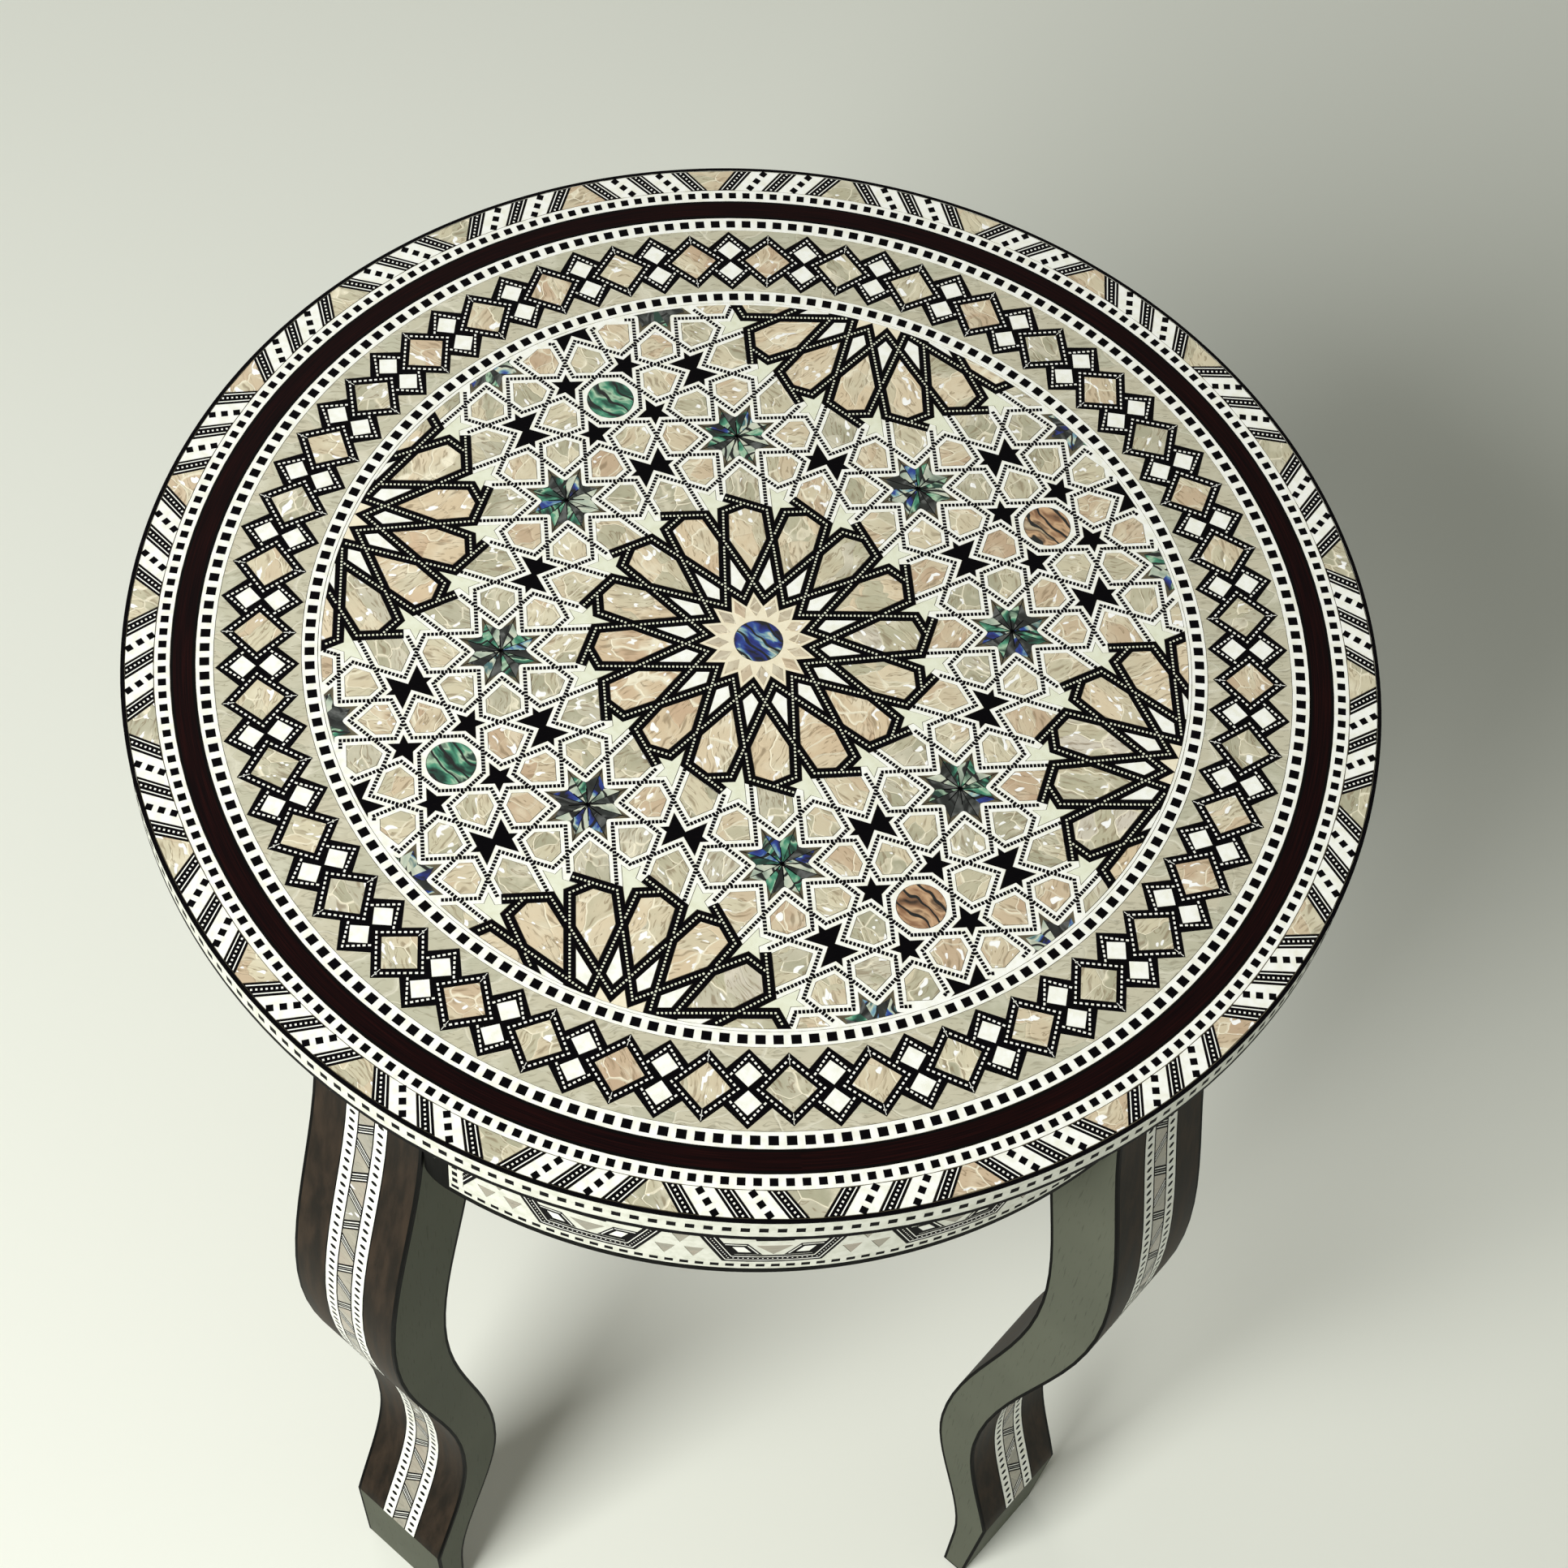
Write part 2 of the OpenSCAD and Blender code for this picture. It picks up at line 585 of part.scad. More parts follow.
module abalone_stars() {
    color(abalone) translate([0, 0, board_z1]) linear_extrude(inlay_t)
        for (s = star_centres)
            intersection() {
                translate(s[0]) rotate(pattern_turn)
                    polygon([for (k = [0:15]) polar(k % 2 == 0 ? shell_star_r : notch_r, 22.5 * k)]);
                circle(tile_limit - glue_gap);
            }
}

// Legs: one outline in a plane through the table's axis, sawn through the width of the leg
leg_angles = [225, 315, 45, 135];
wave_n = 12;
toe_wave_z = ankle_z - (ankle_z - foot_h) * toe_bend;
toe_wave_r = ankle_r + 2 * (toe_r - ankle_r) / (1 - cos(180 / toe_bend));
function wave(z0, r0, z1, r1, z) = r0 + (r1 - r0) * (1 - cos(180 * (z - z0) / (z1 - z0))) / 2;
function sweep(z0, r0, z1, r1, last) = [for (i = [0:wave_n - 1])
    let (z = z0 + (last - z0) * i / wave_n) [wave(z0, r0, z1, r1, z), z]];
leg_front = concat([[leg_top_r, board_z0]],
    sweep(board_z0 - leg_straight, leg_top_r, knee_z, knee_r, knee_z),
    sweep(knee_z, knee_r, ankle_z, ankle_r, ankle_z),
    sweep(ankle_z, ankle_r, toe_wave_z, toe_wave_r, foot_h),
    [[toe_r, foot_h]]);
apron_z0 = board_z0 - apron_h;
leg_back = concat([[heel_r, 0]],
    sweep(heel_z, heel_r, back_ankle_z, back_ankle_r, back_ankle_z),
    sweep(back_ankle_z, back_ankle_r, back_knee_z, back_knee_r, back_knee_z),
    sweep(back_knee_z, back_knee_r, apron_z0, back_top_r, apron_z0),
    [[back_top_r, apron_z0], [back_top_r, board_z0]]);
leg_outline = concat(leg_front, [[sole_r, 0]], leg_back);
module upright(w) {
    rotate([90, 0, 0]) linear_extrude(w, center = true) children();
}
function behind_front(d) = [for (p = leg_front) [p[0] - d, p[1]]];
module leg_groove(d0, d1) {
    polygon(concat(behind_front(d0), backward(behind_front(d1))));
}
module leg() {
    color(leg_wood) difference() {
        upright(leg_w) polygon(leg_outline);
        upright(leg_inlay_w) leg_groove(leg_inlay_t, -leg_inlay_t);
        for (z = bolt_heights)
            translate([back_top_r, 0, z]) bolt_bore(bolt_bite + hole_gap);
    }
}
leg_strip_w = leg_inlay_w - 2 * glue_gap;
leg_panel_w = leg_strip_w - 2 * leg_border_w - 2 * glue_gap;
module leg_inlay() {
    color(bone) for (s = [-1, 1])
        translate([0, s * (leg_strip_w - leg_border_w) / 2, 0])
            upright(leg_border_w) leg_groove(leg_inlay_t, 0);
}
// Bars that slant to and fro down the middle of the strip, seen from outside
leg_bar_n = floor((board_z0 - foot_h) / leg_bar_pitch);
module leg_bar_shape(k, grow) {
    slope = k % 2 == 0 ? 1 : -1;
    translate([0, foot_h + (k + 0.5) * leg_bar_pitch])
        polygon([for (c = [[-1, -1], [1, -1], [1, 1], [-1, 1]])
            [c[0] * leg_panel_w, slope * c[0] * leg_panel_w + c[1] * (leg_bar_h / 2 + grow)]]);
}
module leg_panel_cut() {
    intersection() {
        upright(leg_panel_w) leg_groove(leg_inlay_t, 0);
        rotate([90, 0, 90]) linear_extrude(2 * top_r) children();
    }
}
module leg_bars() {
    color(ebony) for (a = leg_angles, k = [0:leg_bar_n - 1])
        rotate(a) leg_panel_cut() leg_bar_shape(k, 0);
}
module leg_pearls() {
    color(pearl) for (a = leg_angles)
        rotate(a) leg_panel_cut() difference() {
            translate([-leg_w / 2, 0]) square([leg_w, board_z0]);
            for (k = [0:leg_bar_n - 1])
                leg_bar_shape(k, glue_gap);
        }
}

// Apron: four curved boards that stand between the legs
module apron_between(margin) {
    difference() {
        children();
        rotate(-45) translate([0, -apron_r * 2 + leg_w / 2 + apron_gap + margin, 0])
            cube([apron_r * 2, apron_r * 2, table_h]);
        rotate(45) translate([0, -leg_w / 2 - apron_gap - margin, 0])
            cube([apron_r * 2, apron_r * 2, table_h]);
        translate([-apron_r * 2, -apron_r * 2, 0]) cube([apron_r * 2, apron_r * 4, table_h]);
    }
}
module tube(r1, r0, z0, z1) {
    translate([0, 0, z0]) washer(r1, r0, z1 - z0);
}
inlay_z0 = apron_z0 + apron_rim;
inlay_back_r = apron_r - apron_inlay_t;
module apron() {
    color(leg_wood) difference() {
        apron_between(0) tube(apron_r, apron_r - apron_t, apron_z0, board_z0);
        apron_between(apron_margin) tube(apron_r + 1, inlay_back_r, inlay_z0, table_h);
        for (s = [-1, 1])
            apron_corner(s);
    }
}
// Rounds a lower corner of an apron board beside a leg
module apron_corner(s) {
    y = leg_w / 2 + apron_gap;
    rotate(45 * s) translate([0, -s * y, apron_z0]) rotate([90, 0, 90])
        linear_extrude(apron_r + 1) difference() {
            translate([s > 0 ? -apron_corner_r : -1, -1]) square(apron_corner_r + 1);
            translate([-s * apron_corner_r, apron_corner_r]) circle(apron_corner_r, $fn = 48);
        }
}
apron_low = inlay_z0 + glue_gap;
apron_inlay_back = inlay_back_r + glue_gap;
apron_end = apron_margin + glue_gap;
field_low = apron_low + apron_border_w + glue_gap;
field_high = board_z0 - apron_border_w - glue_gap;
field_end = apron_end + apron_border_w + glue_gap;
field_h = field_high - field_low;
// Outline of a six-sided frame, drawn past the field's edges by the given distance
frame_w = (apron_frame_pitch - apron_frame_gap) / 2;
flat_w = apron_frame_flat / 2;
frame_slope = (frame_w - flat_w) / (field_h / 2);
function frame_outline(over) =
    let (x = flat_w - frame_slope * over, y = field_h / 2 + over)
    [[frame_w, 0], [x, y], [-x, y], [-frame_w, 0], [-x, -y], [x, -y]];
// Outlines of the three pearls in the gap below the frames' corners
function down_pearl(x, y, w, h) = [[x - w / 2, y], [x, y - h], [x + w / 2, y]];
gap_w = apron_frame_pitch - apron_frame_flat;
pearl_w = gap_w / 3;
pearl_h = field_h / 6;
gap_pearls = [down_pearl(0, -pearl_h, pearl_w, pearl_h),
              down_pearl(-pearl_w / 2, -2 * pearl_h, pearl_w, pearl_h),
              down_pearl(pearl_w / 2, -2 * pearl_h, pearl_w, pearl_h)];
module frame_shape(grow) {
    difference() {
        polygon(inset(frame_outline(apron_frame_w / 4), glue_gap - grow));
        polygon(inset(frame_outline(0), glue_gap + apron_frame_w + grow));
    }
}
module pearl_shape(grow) {
    for (p = gap_pearls, up = [1, -1])
        scale([1, up]) polygon(inset(p, apron_pearl_gap - grow));
}
// Lays a flat shape on the apron, x along it from its middle and y up from mid height
module on_apron(x) {
    intersection() {
        tube(apron_r, apron_inlay_back, field_low, field_high);
        rotate(x / apron_r * 180 / PI) translate([0, 0, (field_low + field_high) / 2])
            rotate([90, 0, 90]) linear_extrude(apron_r + 1) children();
    }
}
frame_places = [for (k = [-2:2]) apron_frame_shift + k * apron_frame_pitch];
gap_places = [for (k = [-2:1]) apron_frame_shift + (k + 0.5) * apron_frame_pitch];
module apron_inlay() {
    color(bone) {
        apron_between(apron_end) tube(apron_r, apron_inlay_back, apron_low, apron_low + apron_border_w);
        apron_between(apron_end)
            tube(apron_r, apron_inlay_back, board_z0 - apron_border_w, board_z0);
        difference() {
            apron_between(apron_end) tube(apron_r, apron_inlay_back, field_low, field_high);
            apron_between(apron_end + apron_border_w)
                tube(apron_r + 1, apron_inlay_back - 1, 0, table_h);
        }
        difference() {
            apron_between(field_end) tube(apron_r, apron_inlay_back, field_low, field_high);
            for (x = frame_places)
                on_apron(x) frame_shape(glue_gap);
            for (x = gap_places)
                on_apron(x) pearl_shape(glue_gap);
        }
    }
}
module apron_frame_set() {
    color(ebony) for (x = frame_places)
        apron_between(field_end) on_apron(x) frame_shape(0);
}
module apron_pearl_set() {
    color(pearl) for (x = gap_places)
        apron_between(field_end) on_apron(x) pearl_shape(0);
}

// Corner blocks behind the legs, with their bolts and screws
block_z0 = board_z0 - block_h;
bolt_heights = [block_z0 + (block_h - bolt_pitch) / 2, block_z0 + (block_h + bolt_pitch) / 2];
block_back_r = back_top_r - block_d;
wing_r = apron_r - apron_t - block_gap;
screw_r = back_top_r - block_d / 2;
// Bores that reach a depth to either side of where they are placed
module bolt_bore(depth) {
    rotate([0, 90, 0]) cylinder(h = 2 * depth, d = bolt_d + 2 * hole_gap, center = true, $fn = 36);
}
module screw_bore(depth) {
    cylinder(h = 2 * depth, d = screw_d + 2 * hole_gap, center = true, $fn = 24);
}
module block_screw_places() {
    for (s = [-1, 1])
        translate([screw_r, s * screw_pitch / 2, board_z0]) children();
}
module block() {
    color(plain_wood) difference() {
        translate([0, 0, block_z0]) linear_extrude(block_h) difference() {
            intersection() {
                circle(wing_r);
                polygon([[block_back_r, -block_w / 4], [block_back_r, block_w / 4],
                         [back_top_r - block_d / 3, block_w / 2], [apron_r, block_w / 2],
                         [apron_r, -block_w / 2], [back_top_r - block_d / 3, -block_w / 2]]);
            }
            translate([back_top_r, -leg_w / 2 - block_gap]) square([apron_r, leg_w + 2 * block_gap]);
        }
        for (z = bolt_heights)
            translate([block_back_r, 0, z]) bolt_bore(2 * block_d);
        block_screw_places() screw_bore(2 * block_h);
    }
}
module leg_bolts() {
    color(steel) for (a = leg_angles, z = bolt_heights)
        rotate(a) translate([block_back_r, 0, z]) rotate([0, 90, 0]) {
            cylinder(h = block_d + bolt_bite, d = bolt_d, $fn = 36);
            translate([0, 0, -bolt_head_t]) cylinder(h = bolt_head_t, d = bolt_head_d, $fn = 36);
        }
}
module block_screws() {
    color(steel) for (a = leg_angles)
        rotate(a) block_screw_places() translate([0, 0, -block_h]) {
            cylinder(h = block_h + screw_bite, d = screw_d, $fn = 24);
            translate([0, 0, -screw_head_t]) cylinder(h = screw_head_t, d = screw_head_d, $fn = 24);
        }
}

module front_left_leg() { rotate(leg_angles[0]) leg(); }
module front_right_leg() { rotate(leg_angles[1]) leg(); }
module rear_right_leg() { rotate(leg_angles[2]) leg(); }
module rear_left_leg() { rotate(leg_angles[3]) leg(); }
module front_left_leg_inlay() { rotate(leg_angles[0]) leg_inlay(); }
module front_right_leg_inlay() { rotate(leg_angles[1]) leg_inlay(); }
module rear_right_leg_inlay() { rotate(leg_angles[2]) leg_inlay(); }
module rear_left_leg_inlay() { rotate(leg_angles[3]) leg_inlay(); }
module front_apron() { rotate(270) apron(); }
module right_apron() { rotate(0) apron(); }
module rear_apron() { rotate(90) apron(); }
module left_apron() { rotate(180) apron(); }
module front_apron_inlay() { rotate(270) apron_inlay(); }
module right_apron_inlay() { rotate(0) apron_inlay(); }
module rear_apron_inlay() { rotate(90) apron_inlay(); }
module left_apron_inlay() { rotate(180) apron_inlay(); }
module apron_frames() { for (a = [0, 90, 180, 270]) rotate(a) apron_frame_set(); }
module apron_triangles() { for (a = [0, 90, 180, 270]) rotate(a) apron_pearl_set(); }
module front_left_block() { rotate(leg_angles[0]) block(); }
module front_right_block() { rotate(leg_angles[1]) block(); }
module rear_right_block() { rotate(leg_angles[2]) block(); }
module rear_left_block() { rotate(leg_angles[3]) block(); }

top_board();
edge_band();
border_pearls();
border_dark_strips();
border_bone_strips();
outer_dotted_ring();
dark_wood_ring();
middle_dotted_ring();
middle_ring_squares();
chain_ground();
chain_frames();
chain_pearls();
chain_bone_squares();
inner_dotted_ring();
inner_ring_squares();
bone_lattice();
pearl_tiles();
rosette_petals();
rosette_strips();
rosette_kites();
rosette_hearts();
bone_stars();
ebony_stars();
abalone_stars();
abalone_discs();
front_left_leg();
front_right_leg();
rear_right_leg();
rear_left_leg();
front_left_leg_inlay();
front_right_leg_inlay();
rear_right_leg_inlay();
rear_left_leg_inlay();
leg_pearls();
leg_bars();
front_apron();
right_apron();
rear_apron();
left_apron();
front_apron_inlay();
right_apron_inlay();
rear_apron_inlay();
left_apron_inlay();
apron_frames();
apron_triangles();
front_left_block();
front_right_block();
rear_right_block();
rear_left_block();
leg_bolts();
block_screws();
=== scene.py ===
"""Round side table with a geometric inlay of pearl, bone and ebony, dressed for a studio render.

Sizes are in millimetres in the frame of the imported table: Z is up and the origin is on the
floor under the centre of the top. A finished piece is scaled to metres.
"""

import logging
import math
import random
from collections.abc import Iterable, Sequence
from dataclasses import dataclass, field
from enum import Enum

import bmesh
import bpy
from mathutils import Matrix, Vector, kdtree


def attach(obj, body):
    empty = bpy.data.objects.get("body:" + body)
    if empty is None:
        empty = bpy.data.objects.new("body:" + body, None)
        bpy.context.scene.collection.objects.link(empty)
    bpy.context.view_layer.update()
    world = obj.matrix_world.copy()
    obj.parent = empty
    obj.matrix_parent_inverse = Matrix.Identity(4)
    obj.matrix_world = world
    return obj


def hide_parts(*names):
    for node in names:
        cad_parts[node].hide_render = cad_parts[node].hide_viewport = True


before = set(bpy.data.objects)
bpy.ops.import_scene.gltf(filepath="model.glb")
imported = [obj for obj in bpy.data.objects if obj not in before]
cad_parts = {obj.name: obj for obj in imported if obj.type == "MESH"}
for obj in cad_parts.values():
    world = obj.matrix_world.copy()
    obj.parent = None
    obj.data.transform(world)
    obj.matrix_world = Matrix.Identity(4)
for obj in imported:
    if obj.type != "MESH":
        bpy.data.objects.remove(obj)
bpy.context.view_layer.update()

LOG = logging.getLogger("inlaid_table")
MM = 0.001
BODY = "root"
CUT = "cut"
TONE = "tone"
CUT_UNIT = 10.0
TABLE_H = 520.0
RAYS = 8
HALF_RAY = 180.0 / RAYS
# Widths of the shell that whole solids and small shapes are cut from, in sheet units, and the
# largest tilt of a cut in degrees.
SHELL_W = 24.0
SHELL_PART = 9.0
TILT = 25.0
# How far inlay stands out of the legs and aprons, and how deep it is let in.
PROUD = 0.04
SIDE_CUT = 0.3
# Tones of the legs' and boards' wood.
BLACK = 1.0
SAWN = 0.4
STAINED = 0.0
# Angles in degrees up to which the faces of legs and aprons, and of boards and band, are smooth.
SMOOTH = 20.0
BOARD_SMOOTH = 30.0
# Limits for what counts as near, as level, as facing one way, as on a plane and as nothing.
NEAR = 0.1
LEVEL = 0.01
FACING = 0.9
SNAP = 1e-4
TINY = 1e-6
ORIGIN = Vector((0.0, 0.0))
Face = bmesh.types.BMFace
Vert = bmesh.types.BMVert
Outline = Sequence[Vector]
Corners = tuple[tuple[float, float], ...]
Colour = tuple[int, int, int]


class Slot(Enum):
    """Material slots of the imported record."""

    PLAIN_WOOD = "plain_wood"
    BONE = "bone"
    PEARL = "pearl"
    EBONY = "ebony"
    ABALONE = "abalone"
    DARK_WOOD = "dark_wood"
    LEG_WOOD = "leg_wood"
    STEEL = "steel"


def linear(colour: Colour) -> tuple[float, float, float, float]:
    """Turns a colour as it looks on screen into the linear values of a shader.

    Args:
        colour: Red, green and blue from 0 to 255.

    Returns:
        Red, green, blue and full cover, from 0 to 1.
    """
    def channel(value: int) -> float:
        """Linear value of one channel."""
        part = value / 255
        return part / 12.92 if part <= 0.04045 else ((part + 0.055) / 1.055) ** 2.4
    return (*(channel(value) for value in colour), 1.0)


class Wire:
    """A shader value that arithmetic can be written on."""

    def __init__(self, bench: "Bench", socket: bpy.types.NodeSocket) -> None:
        """Keeps the node tree and the output socket that holds the value."""
        self.bench = bench
        self.socket = socket

    def maths(self, operation: str, *others: "Wire | float") -> "Wire":
        """Adds a Math node with this value on its first socket."""
        return self.bench.node("ShaderNodeMath", {"operation": operation},
                               dict(enumerate((self, *others))))

    def __add__(self, other: "Wire | float") -> "Wire":
        """Sum."""
        return self.maths("ADD", other)

    __radd__ = __add__

    def __mul__(self, other: "Wire | float") -> "Wire":
        """Product."""
        return self.maths("MULTIPLY", other)

    __rmul__ = __mul__

    def __sub__(self, other: "Wire | float") -> "Wire":
        """Difference."""
        return self.maths("SUBTRACT", other)

    def __rsub__(self, other: float) -> "Wire":
        """Difference from a number."""
        return (self * -1.0) + other

    def __gt__(self, other: "Wire | float") -> "Wire":
        """One where this value is the greater."""
        return self.maths("GREATER_THAN", other)

    def sine(self) -> "Wire":
        """Sine of this value in radians."""
        return self.maths("SINE")

    def between(self, low: float, high: float) -> "Wire":
        """Rises smoothly from 0 at low to 1 at high."""
        return self.bench.node("ShaderNodeMapRange", {"interpolation_type": "SMOOTHSTEP"},
                               {"Value": self, "From Min": low, "From Max": high})

    def beyond(self, low: float, high: float) -> "Wire":
        """Falls smoothly from 1 at low to 0 at high."""
        return 1.0 - self.between(low, high)


class Bench:
    """The node tree of one material, where a finish is mixed."""

    def __init__(self, tree: bpy.types.NodeTree) -> None:
        """Starts with the tree's own shader and output."""
        self.tree = tree
        self.skin = tree.nodes.get("Principled BSDF")

    def node(self, kind: str, settings: dict[str, object] | None = None,
             sockets: dict[int | str, object] | None = None, take: int | str = 0) -> Wire:
        """Adds a node.

        Args:
            kind: The node's type.
            settings: Its settings, set first; "stops" lists a ramp's positions and colours.
            sockets: Values or wires for its input sockets.
            take: The output that is wanted.

        Returns:
            The wanted output.
        """
        made = self.tree.nodes.new(kind)
        for name, value in (settings or {}).items():
            if name == "stops":
                self.set_stops(made.color_ramp, value)
            else:
                setattr(made, name, value)
        for name, value in (sockets or {}).items():
            self.feed(made.inputs[name], value)
        return Wire(self, made.outputs[take])

    def set_stops(self, ramp: bpy.types.ColorRamp, stops: Sequence[tuple[float, Colour]]) -> None:
        """Sets the positions and colours of a ramp.

        Args:
            ramp: The ramp.
            stops: Its positions, from 0 to 1, and their colours.
        """
        while len(ramp.elements) < len(stops):
            ramp.elements.new(1.0)
        for element, (position, colour) in zip(ramp.elements, stops):
            element.position = position
            element.color = linear(colour)

    def feed(self, socket: bpy.types.NodeSocket, value: object) -> None:
        """Links a wire to a socket, or sets the socket's own value.

        Args:
            socket: The input socket.
            value: A wire or a plain value.
        """
        if isinstance(value, Wire):
            self.tree.links.new(value.socket, socket)
        else:
            socket.default_value = value

    def dress(self, **values: object) -> None:
        """Sets or links the shader's own sockets, named with underscores for spaces."""
        for name, value in values.items():
            self.feed(self.skin.inputs[name.replace("_", " ")], value)

    def place(self, scale: tuple[float, float, float] = (1.0, 1.0, 1.0)) -> Wire:
        """Place on the table in millimetres, stretched along its axes."""
        spot = self.node("ShaderNodeTexCoord", take="Object")
        return self.vector("MULTIPLY", spot, tuple(part / MM for part in scale))

    def sheet(self) -> Wire:
        """Place on the piece's own sheet, in units of CUT_UNIT millimetres."""
        return self.node("ShaderNodeUVMap", {"uv_map": CUT})

    def tone(self) -> Wire:
        """The number from 0 to 1 that tells one cut piece from another."""
        return self.node("ShaderNodeAttribute", {"attribute_name": TONE}, take="Fac")

    def vector(self, operation: str, first: Wire, second: object) -> Wire:
        """Vector arithmetic on two vectors."""
        return self.node("ShaderNodeVectorMath", {"operation": operation}, {0: first, 1: second})

    def stretch(self, spot: Wire, x: float, y: float) -> Wire:
        """Stretches a place along its first two axes."""
        return self.vector("MULTIPLY", spot, (x, y, 1.0))

    def part(self, vector: Wire, axis: str) -> Wire:
        """One part, X, Y or Z, of a vector."""
        return self.node("ShaderNodeSeparateXYZ", sockets={0: vector}, take=axis)

    def noise(self, spot: Wire, scale: float, detail: float = 3.0, take: int = 0) -> Wire:
        """Cloudy noise, with about scale clouds to each unit of the place."""
        return self.node("ShaderNodeTexNoise", sockets={"Vector": spot, "Scale": scale,
                                                        "Detail": detail}, take=take)

    def plates(self, spot: Wire, scale: float, feature: str, take: str) -> Wire:
        """Cells like plates of shell: their seams, colours or middles."""
        return self.node("ShaderNodeTexVoronoi", {"feature": feature},
                         {"Vector": spot, "Scale": scale}, take)

    def warp(self, spot: Wire, scale: float, reach: float) -> Wire:
        """Shifts a place to and fro by up to half the reach."""
        drift = self.vector("SUBTRACT", self.noise(spot, scale, 2.0, take=1), (0.5, 0.5, 0.5))
        return self.vector("ADD", spot, self.vector("MULTIPLY", drift, (reach, reach, reach)))

    def blend(self, factor: Wire, first: object, second: object) -> Wire:
        """Mixes two colours.

        Args:
            factor: Share of the second, from 0 to 1.
            first: A colour, or a wire that carries one.
            second: The same.

        Returns:
            The mixed colour.
        """
        shades = [linear(shade) if isinstance(shade, tuple) else shade
                  for shade in (first, second)]
        return self.node("ShaderNodeMix", {"data_type": "RGBA"},
                         {0: factor, 6: shades[0], 7: shades[1]}, 2)

    def ramp(self, factor: Wire, *stops: tuple[float, Colour]) -> Wire:
        """A colour that changes along a row of stops."""
        return self.node("ShaderNodeValToRGB", {"stops": stops}, {0: factor})

    def bump(self, height: Wire, depth: float, strength: float) -> Wire:
        """A normal from a height of 0 to 1 that stands for depth millimetres."""
        return self.node("ShaderNodeBump", sockets={"Height": height, "Distance": depth * MM,
                                                    "Strength": strength})


@dataclass(frozen=True)
class Finish:
    """A surface finish, made a material the first time it is used."""

    name: str
    slot: Slot

    def mix(self, bench: Bench) -> None:
        """Fills the node tree."""
        raise NotImplementedError

    def material(self) -> bpy.types.Material:
        """Makes the material, or finds it where it is made already.

        Returns:
            The material of this finish.
        """
        made = bpy.data.materials.get(self.name)
        if made is None:
            made = bpy.data.materials.new(self.name)
            made.use_nodes = True
            self.mix(Bench(made.node_tree))
        return made


@dataclass(frozen=True)
class Bone(Finish):
    """Polished white bone under lacquer."""

    pale: Colour = (252, 253, 246)
    warm: Colour = (240, 240, 224)
    grain: float = 0.35
    pore: float = 2.2
    stain: Colour = (206, 200, 170)
    gleam: float = 0.25
    coat: float = 0.12

    def mix(self, bench: Bench) -> None:
        """Soft clouds, fine pores and a light lacquer.

        Args:
            bench: The node tree.
        """
        cloud = bench.noise(bench.place(), self.grain, 4.0)
        pores = bench.noise(bench.place((1.0, 1.0, 0.4)), self.pore, 2.0)
        tint = bench.blend(cloud.between(0.35, 0.75), self.pale, self.warm)
        stained = bench.blend(pores.between(0.66, 0.8) * 0.2, tint, self.stain)
        bench.dress(Base_Color=stained, Roughness=0.24 + 0.16 * cloud,
                    Normal=bench.bump(pores, 0.02, 0.4), Specular_IOR_Level=self.gleam,
                    Coat_Weight=self.coat, Coat_Roughness=0.12)


